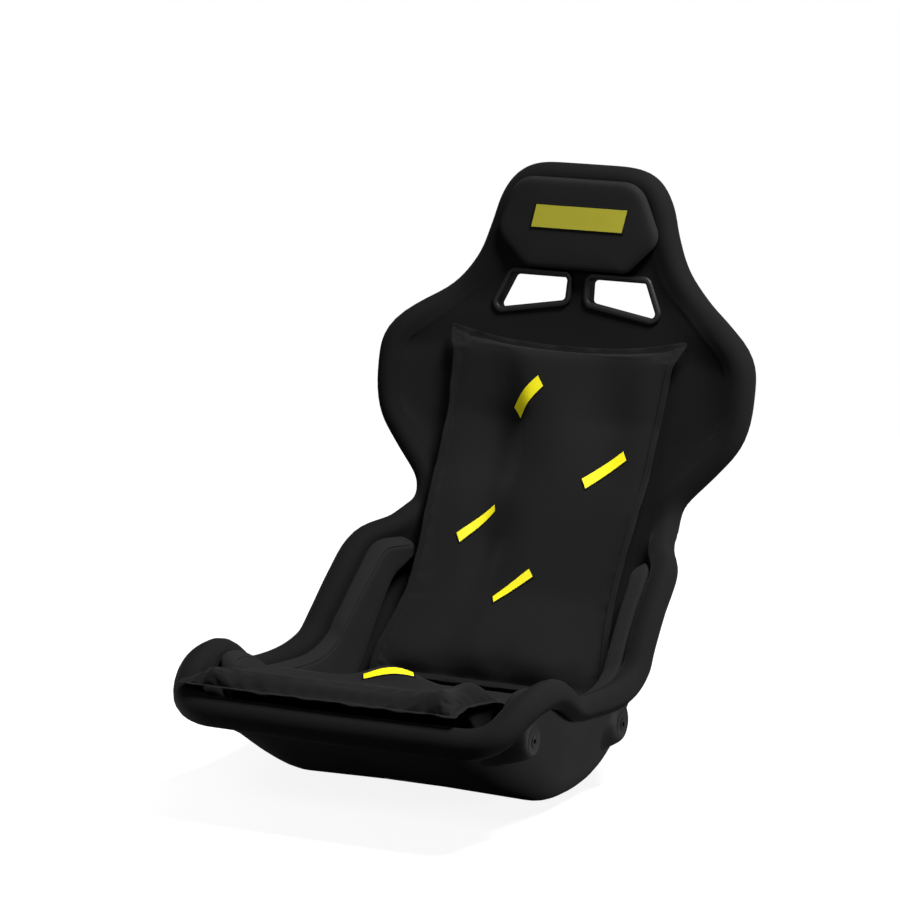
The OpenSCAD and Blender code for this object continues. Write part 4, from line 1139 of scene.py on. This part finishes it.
flange("back_insert_flange", back_seam, back_v, back_w, back_along, back_off, "back_insert")
flange("seat_insert_flange", seat_seam, seat_v, seat_w, seat_along, seat_off, "seat_insert")
print("two flanges")

# %% [markdown]
# ## Patches
# Plain woven patches are sewn to the head pad and the inserts, left bare here. Each is laid onto
# the cloth under it: a net of points is dropped on the surface, so the patch follows every fold,
# and its rim is bound in dark thread.

# %% Patches
# The rays start this far over a patch, and its cloth is this thick.
DROP_FROM, PATCH_T = 80, 1.0


def bordered(length, steps, border):
    """Places from 0 to 1 along a side: a narrow border at both ends, even steps between."""
    inner = np.linspace(border / length, 1 - border / length, steps)
    return np.concatenate([[0], inner, [1]])


def patch(name, corners, on, tape, body, rows=9, cols=25, border=2.2, lift=0.7):
    """A sewn patch between four corners, top left first and then clockwise, dropped on a piece."""
    tl, tr, br, bl = (np.array(c, float) for c in corners)
    face = unit(np.cross(br - tl, tr - bl))
    if face[1] > 0:
        face = -face
    s = bordered(np.linalg.norm(tr - tl), cols, border)
    t = bordered(np.linalg.norm(bl - tl), rows, border)
    tree = BVHTree.FromObject(on, bpy.context.evaluated_depsgraph_get())
    points = np.zeros((len(t), len(s), 3))
    for i, down in enumerate(t):
        for j, across in enumerate(s):
            flat = mix(mix(tl, tr, across), mix(bl, br, across), down)
            hit = tree.ray_cast(Vector(from_lip(flat + face * DROP_FROM)), Vector(-face))
            reach = DROP_FROM - hit[3] / MM if hit[0] is not None else 0
            points[i, j] = flat + face * (reach + lift)
    obj = piece(name, points.reshape(-1, 3), grid_quads(len(t), len(s)), tape, body=body)
    obj.data.materials.append(thread)
    for poly in obj.data.polygons:
        i, j = divmod(poly.index, len(s) - 1)
        if i in (0, len(t) - 2) or j in (0, len(s) - 2):
            poly.material_index = 1
    depth = obj.modifiers.new("thickness", "SOLIDIFY")
    depth.thickness, depth.offset = PATCH_T * MM, 0
    soften(obj)
    return obj


HEAD_PATCH = [(-63, 754.5, 558.1), (84.4, 755.2, 558.1),
              (75.5, 752.5, 520.6), (-71.9, 752.4, 520.6)]
patch("head_patch", HEAD_PATCH, head_pad, olive_tape, "seat")
BACK_PATCHES = [
    [(-65.8, 683.5, 271), (-24.7, 677.9, 325.4), (-12, 671.2, 309), (-50.6, 668.2, 256.2)],
    [(64.5, 629.7, 190), (119.9, 655.8, 233.2), (129.1, 649.8, 218.4), (75, 622.6, 174.3)],
    [(-111, 585.5, 104.3), (-61.3, 617.2, 146.1), (-57.3, 611.4, 135.5), (-101.4, 577.5, 89.4)],
    [(-24.3, 526.1, 31.7), (20.9, 555.9, 74.1), (31.9, 549, 60.7), (-18.2, 517.9, 22)]]
for number, corners in enumerate(BACK_PATCHES, 1):
    patch(f"back_patch_{number}", corners, back_bag, yellow_tape, "back_insert")
patch("seat_patch", [(-2, 86, 18), (63.5, 109.9, 23), (71.7, 97.3, 20), (8, 67, 15)],
      seat_bag, yellow_tape, "seat_insert")
print("six patches")

# %% [markdown]
# ## Mounting bosses
# A boss moulded into a glass fibre shell never stands up like a coin: cloth and resin can't follow
# a sharp inner corner, so the wall sweeps up to it in a wide fillet. A ring of the same gelcoat
# makes that sweep, dropped on the shell all round each boss.

# %% Sweeps round the mounting bosses
# Places of the bosses, y and z; how far out their faces are; their radius and the sweep's.
BOSS_PLACES, BOSS_X, BOSS_R, SWEEP_R = [(92, -38), (378, -85.9)], 245.0, 18.0, 42.0
# The rays start this far out. Where one passes over the wall's edge, the wall counts as this far.
RAY_FROM, WALL_X = 300.0, 226.0
# How deep the sweep's edges are sunk: into the wall, under the boss's face, and into its side.
SINK, UNDER_FACE, INTO_BOSS = 0.6, 0.5, 0.6
# The sweep starts to fall this far outside the boss.
RIM_W = 0.2
shell_tree = BVHTree.FromObject(seat_shell, bpy.context.evaluated_depsgraph_get())


def boss_sweep(name, side, middle, rings=12, around=64):
    """A ring of gelcoat from a boss's edge down to the wall."""
    points = []
    for radius in np.linspace(BOSS_R - INTO_BOSS, SWEEP_R, rings):
        share = np.clip((radius - BOSS_R - RIM_W) / (SWEEP_R - BOSS_R - RIM_W), 0, 1)
        lift = 0.5 + 0.5 * math.cos(math.pi * share)
        for angle in np.linspace(0, 2 * math.pi, around, endpoint=False):
            y, z = middle[0] + radius * math.cos(angle), middle[1] + radius * math.sin(angle)
            start = Vector(from_lip(np.array([side * RAY_FROM, y, z])))
            hit = shell_tree.ray_cast(start, Vector((-side, 0, 0)))
            wall = RAY_FROM - hit[3] / MM if hit[0] is not None else WALL_X
            points.append([side * mix(wall - SINK, max(BOSS_X - UNDER_FACE, wall), lift), y, z])
    return piece(name, points, grid_quads(rings, around, closed=True), gelcoat)


for number, middle in enumerate(BOSS_PLACES, 1):
    for word, side in (("left", -1), ("right", 1)):
        boss_sweep(f"boss_sweep_{number}_{word}", side, middle)
print("four sweeps")

# %% [markdown]
# ## Finishes on the hard pieces
# What the CAD model already shapes rightly keeps its mesh. It only needs its finish and the small
# round-over that every moulded or turned edge has.

# %% Finishes of the CAD pieces
FINISHES = {"mount_bosses": gelcoat, "threaded_inserts": zinc, "harness_bezel_rear_left": trim,
            "harness_bezel_rear_right": trim, "crotch_trim_upper": trim, "crotch_trim_lower": trim,
            "head_pad_strips": thread}
EDGE_ROUND, EDGE_ANGLE = 0.5 * MM, math.radians(40)
for name, material in FINISHES.items():
    node = nodes[name]
    node.data.materials.clear()
    node.data.materials.append(material)
    if name != "head_pad_strips":
        edges = node.modifiers.new("edges", "BEVEL")
        edges.width, edges.segments, edges.limit_method = EDGE_ROUND, 2, "ANGLE"
        edges.angle_limit = EDGE_ANGLE
print("finished", ", ".join(FINISHES))

# %% [markdown]
# ## Floor and world
# The seat stands in a white studio. A floor that was simply painted white and lit until it looks so
# would throw much light up under the black shell. So the floor glows nearly white only to the
# camera, over a pale matt paper that keeps the seat's shadow, and to stray light it is nearly
# black. The world does the same: white where it is looked at, dim everywhere else.

# %% Floor and world
FLOOR_R, FLOOR_Z, FLOOR_CORNERS = 2.4, -0.001, 96
FLOOR_GLOW, WORLD_LIGHT = 0.88, 0.035
floor_ring = [(FLOOR_R * math.cos(a), FLOOR_R * math.sin(a), FLOOR_Z)
              for a in np.linspace(0, 2 * math.pi, FLOOR_CORNERS, False)]
floor_mesh = bpy.data.meshes.new("floor")
floor_mesh.from_pydata(floor_ring, [], [list(range(len(floor_ring)))])
floor = bpy.data.objects.new("floor", floor_mesh)
bpy.context.scene.collection.objects.link(floor)


def looked_at(f):
    """1 where the camera looks, straight or through a clear piece, and 0 for stray light."""
    return f.node("LightPath", out="Is Camera Ray") + f.node("LightPath", out="Is Transmission Ray")


def grey(level):
    return (level, level, level, 1)


def floor_finish():
    f = Finish("white_floor")
    paper = f.node("BsdfDiffuse", None, {"Color": grey(0.36)})
    glow = f.node("Emission", None, {"Color": grey(1), "Strength": FLOOR_GLOW})
    shown = f.node("AddShader", None, {0: paper, 1: glow})
    stray = f.node("BsdfDiffuse", None, {"Color": grey(0.05)})
    mixed = f.node("MixShader", None, {0: looked_at(f), 1: stray, 2: shown})
    f.node("OutputMaterial", None, {"Surface": mixed})
    return f.home


def studio_world():
    f = Finish("studio", bpy.data.worlds.new("studio"))
    strength = f.node("MapRange", None, {"Value": f.node("LightPath", out="Is Camera Ray"),
                                         "To Min": WORLD_LIGHT})
    sky = f.node("Background", None, {"Color": grey(1), "Strength": strength})
    f.node("OutputWorld", None, {"Surface": sky})
    return f.home


floor.data.materials.append(floor_finish())
bpy.context.scene.world = studio_world()
print("floor of", 2 * FLOOR_R, "m and world")
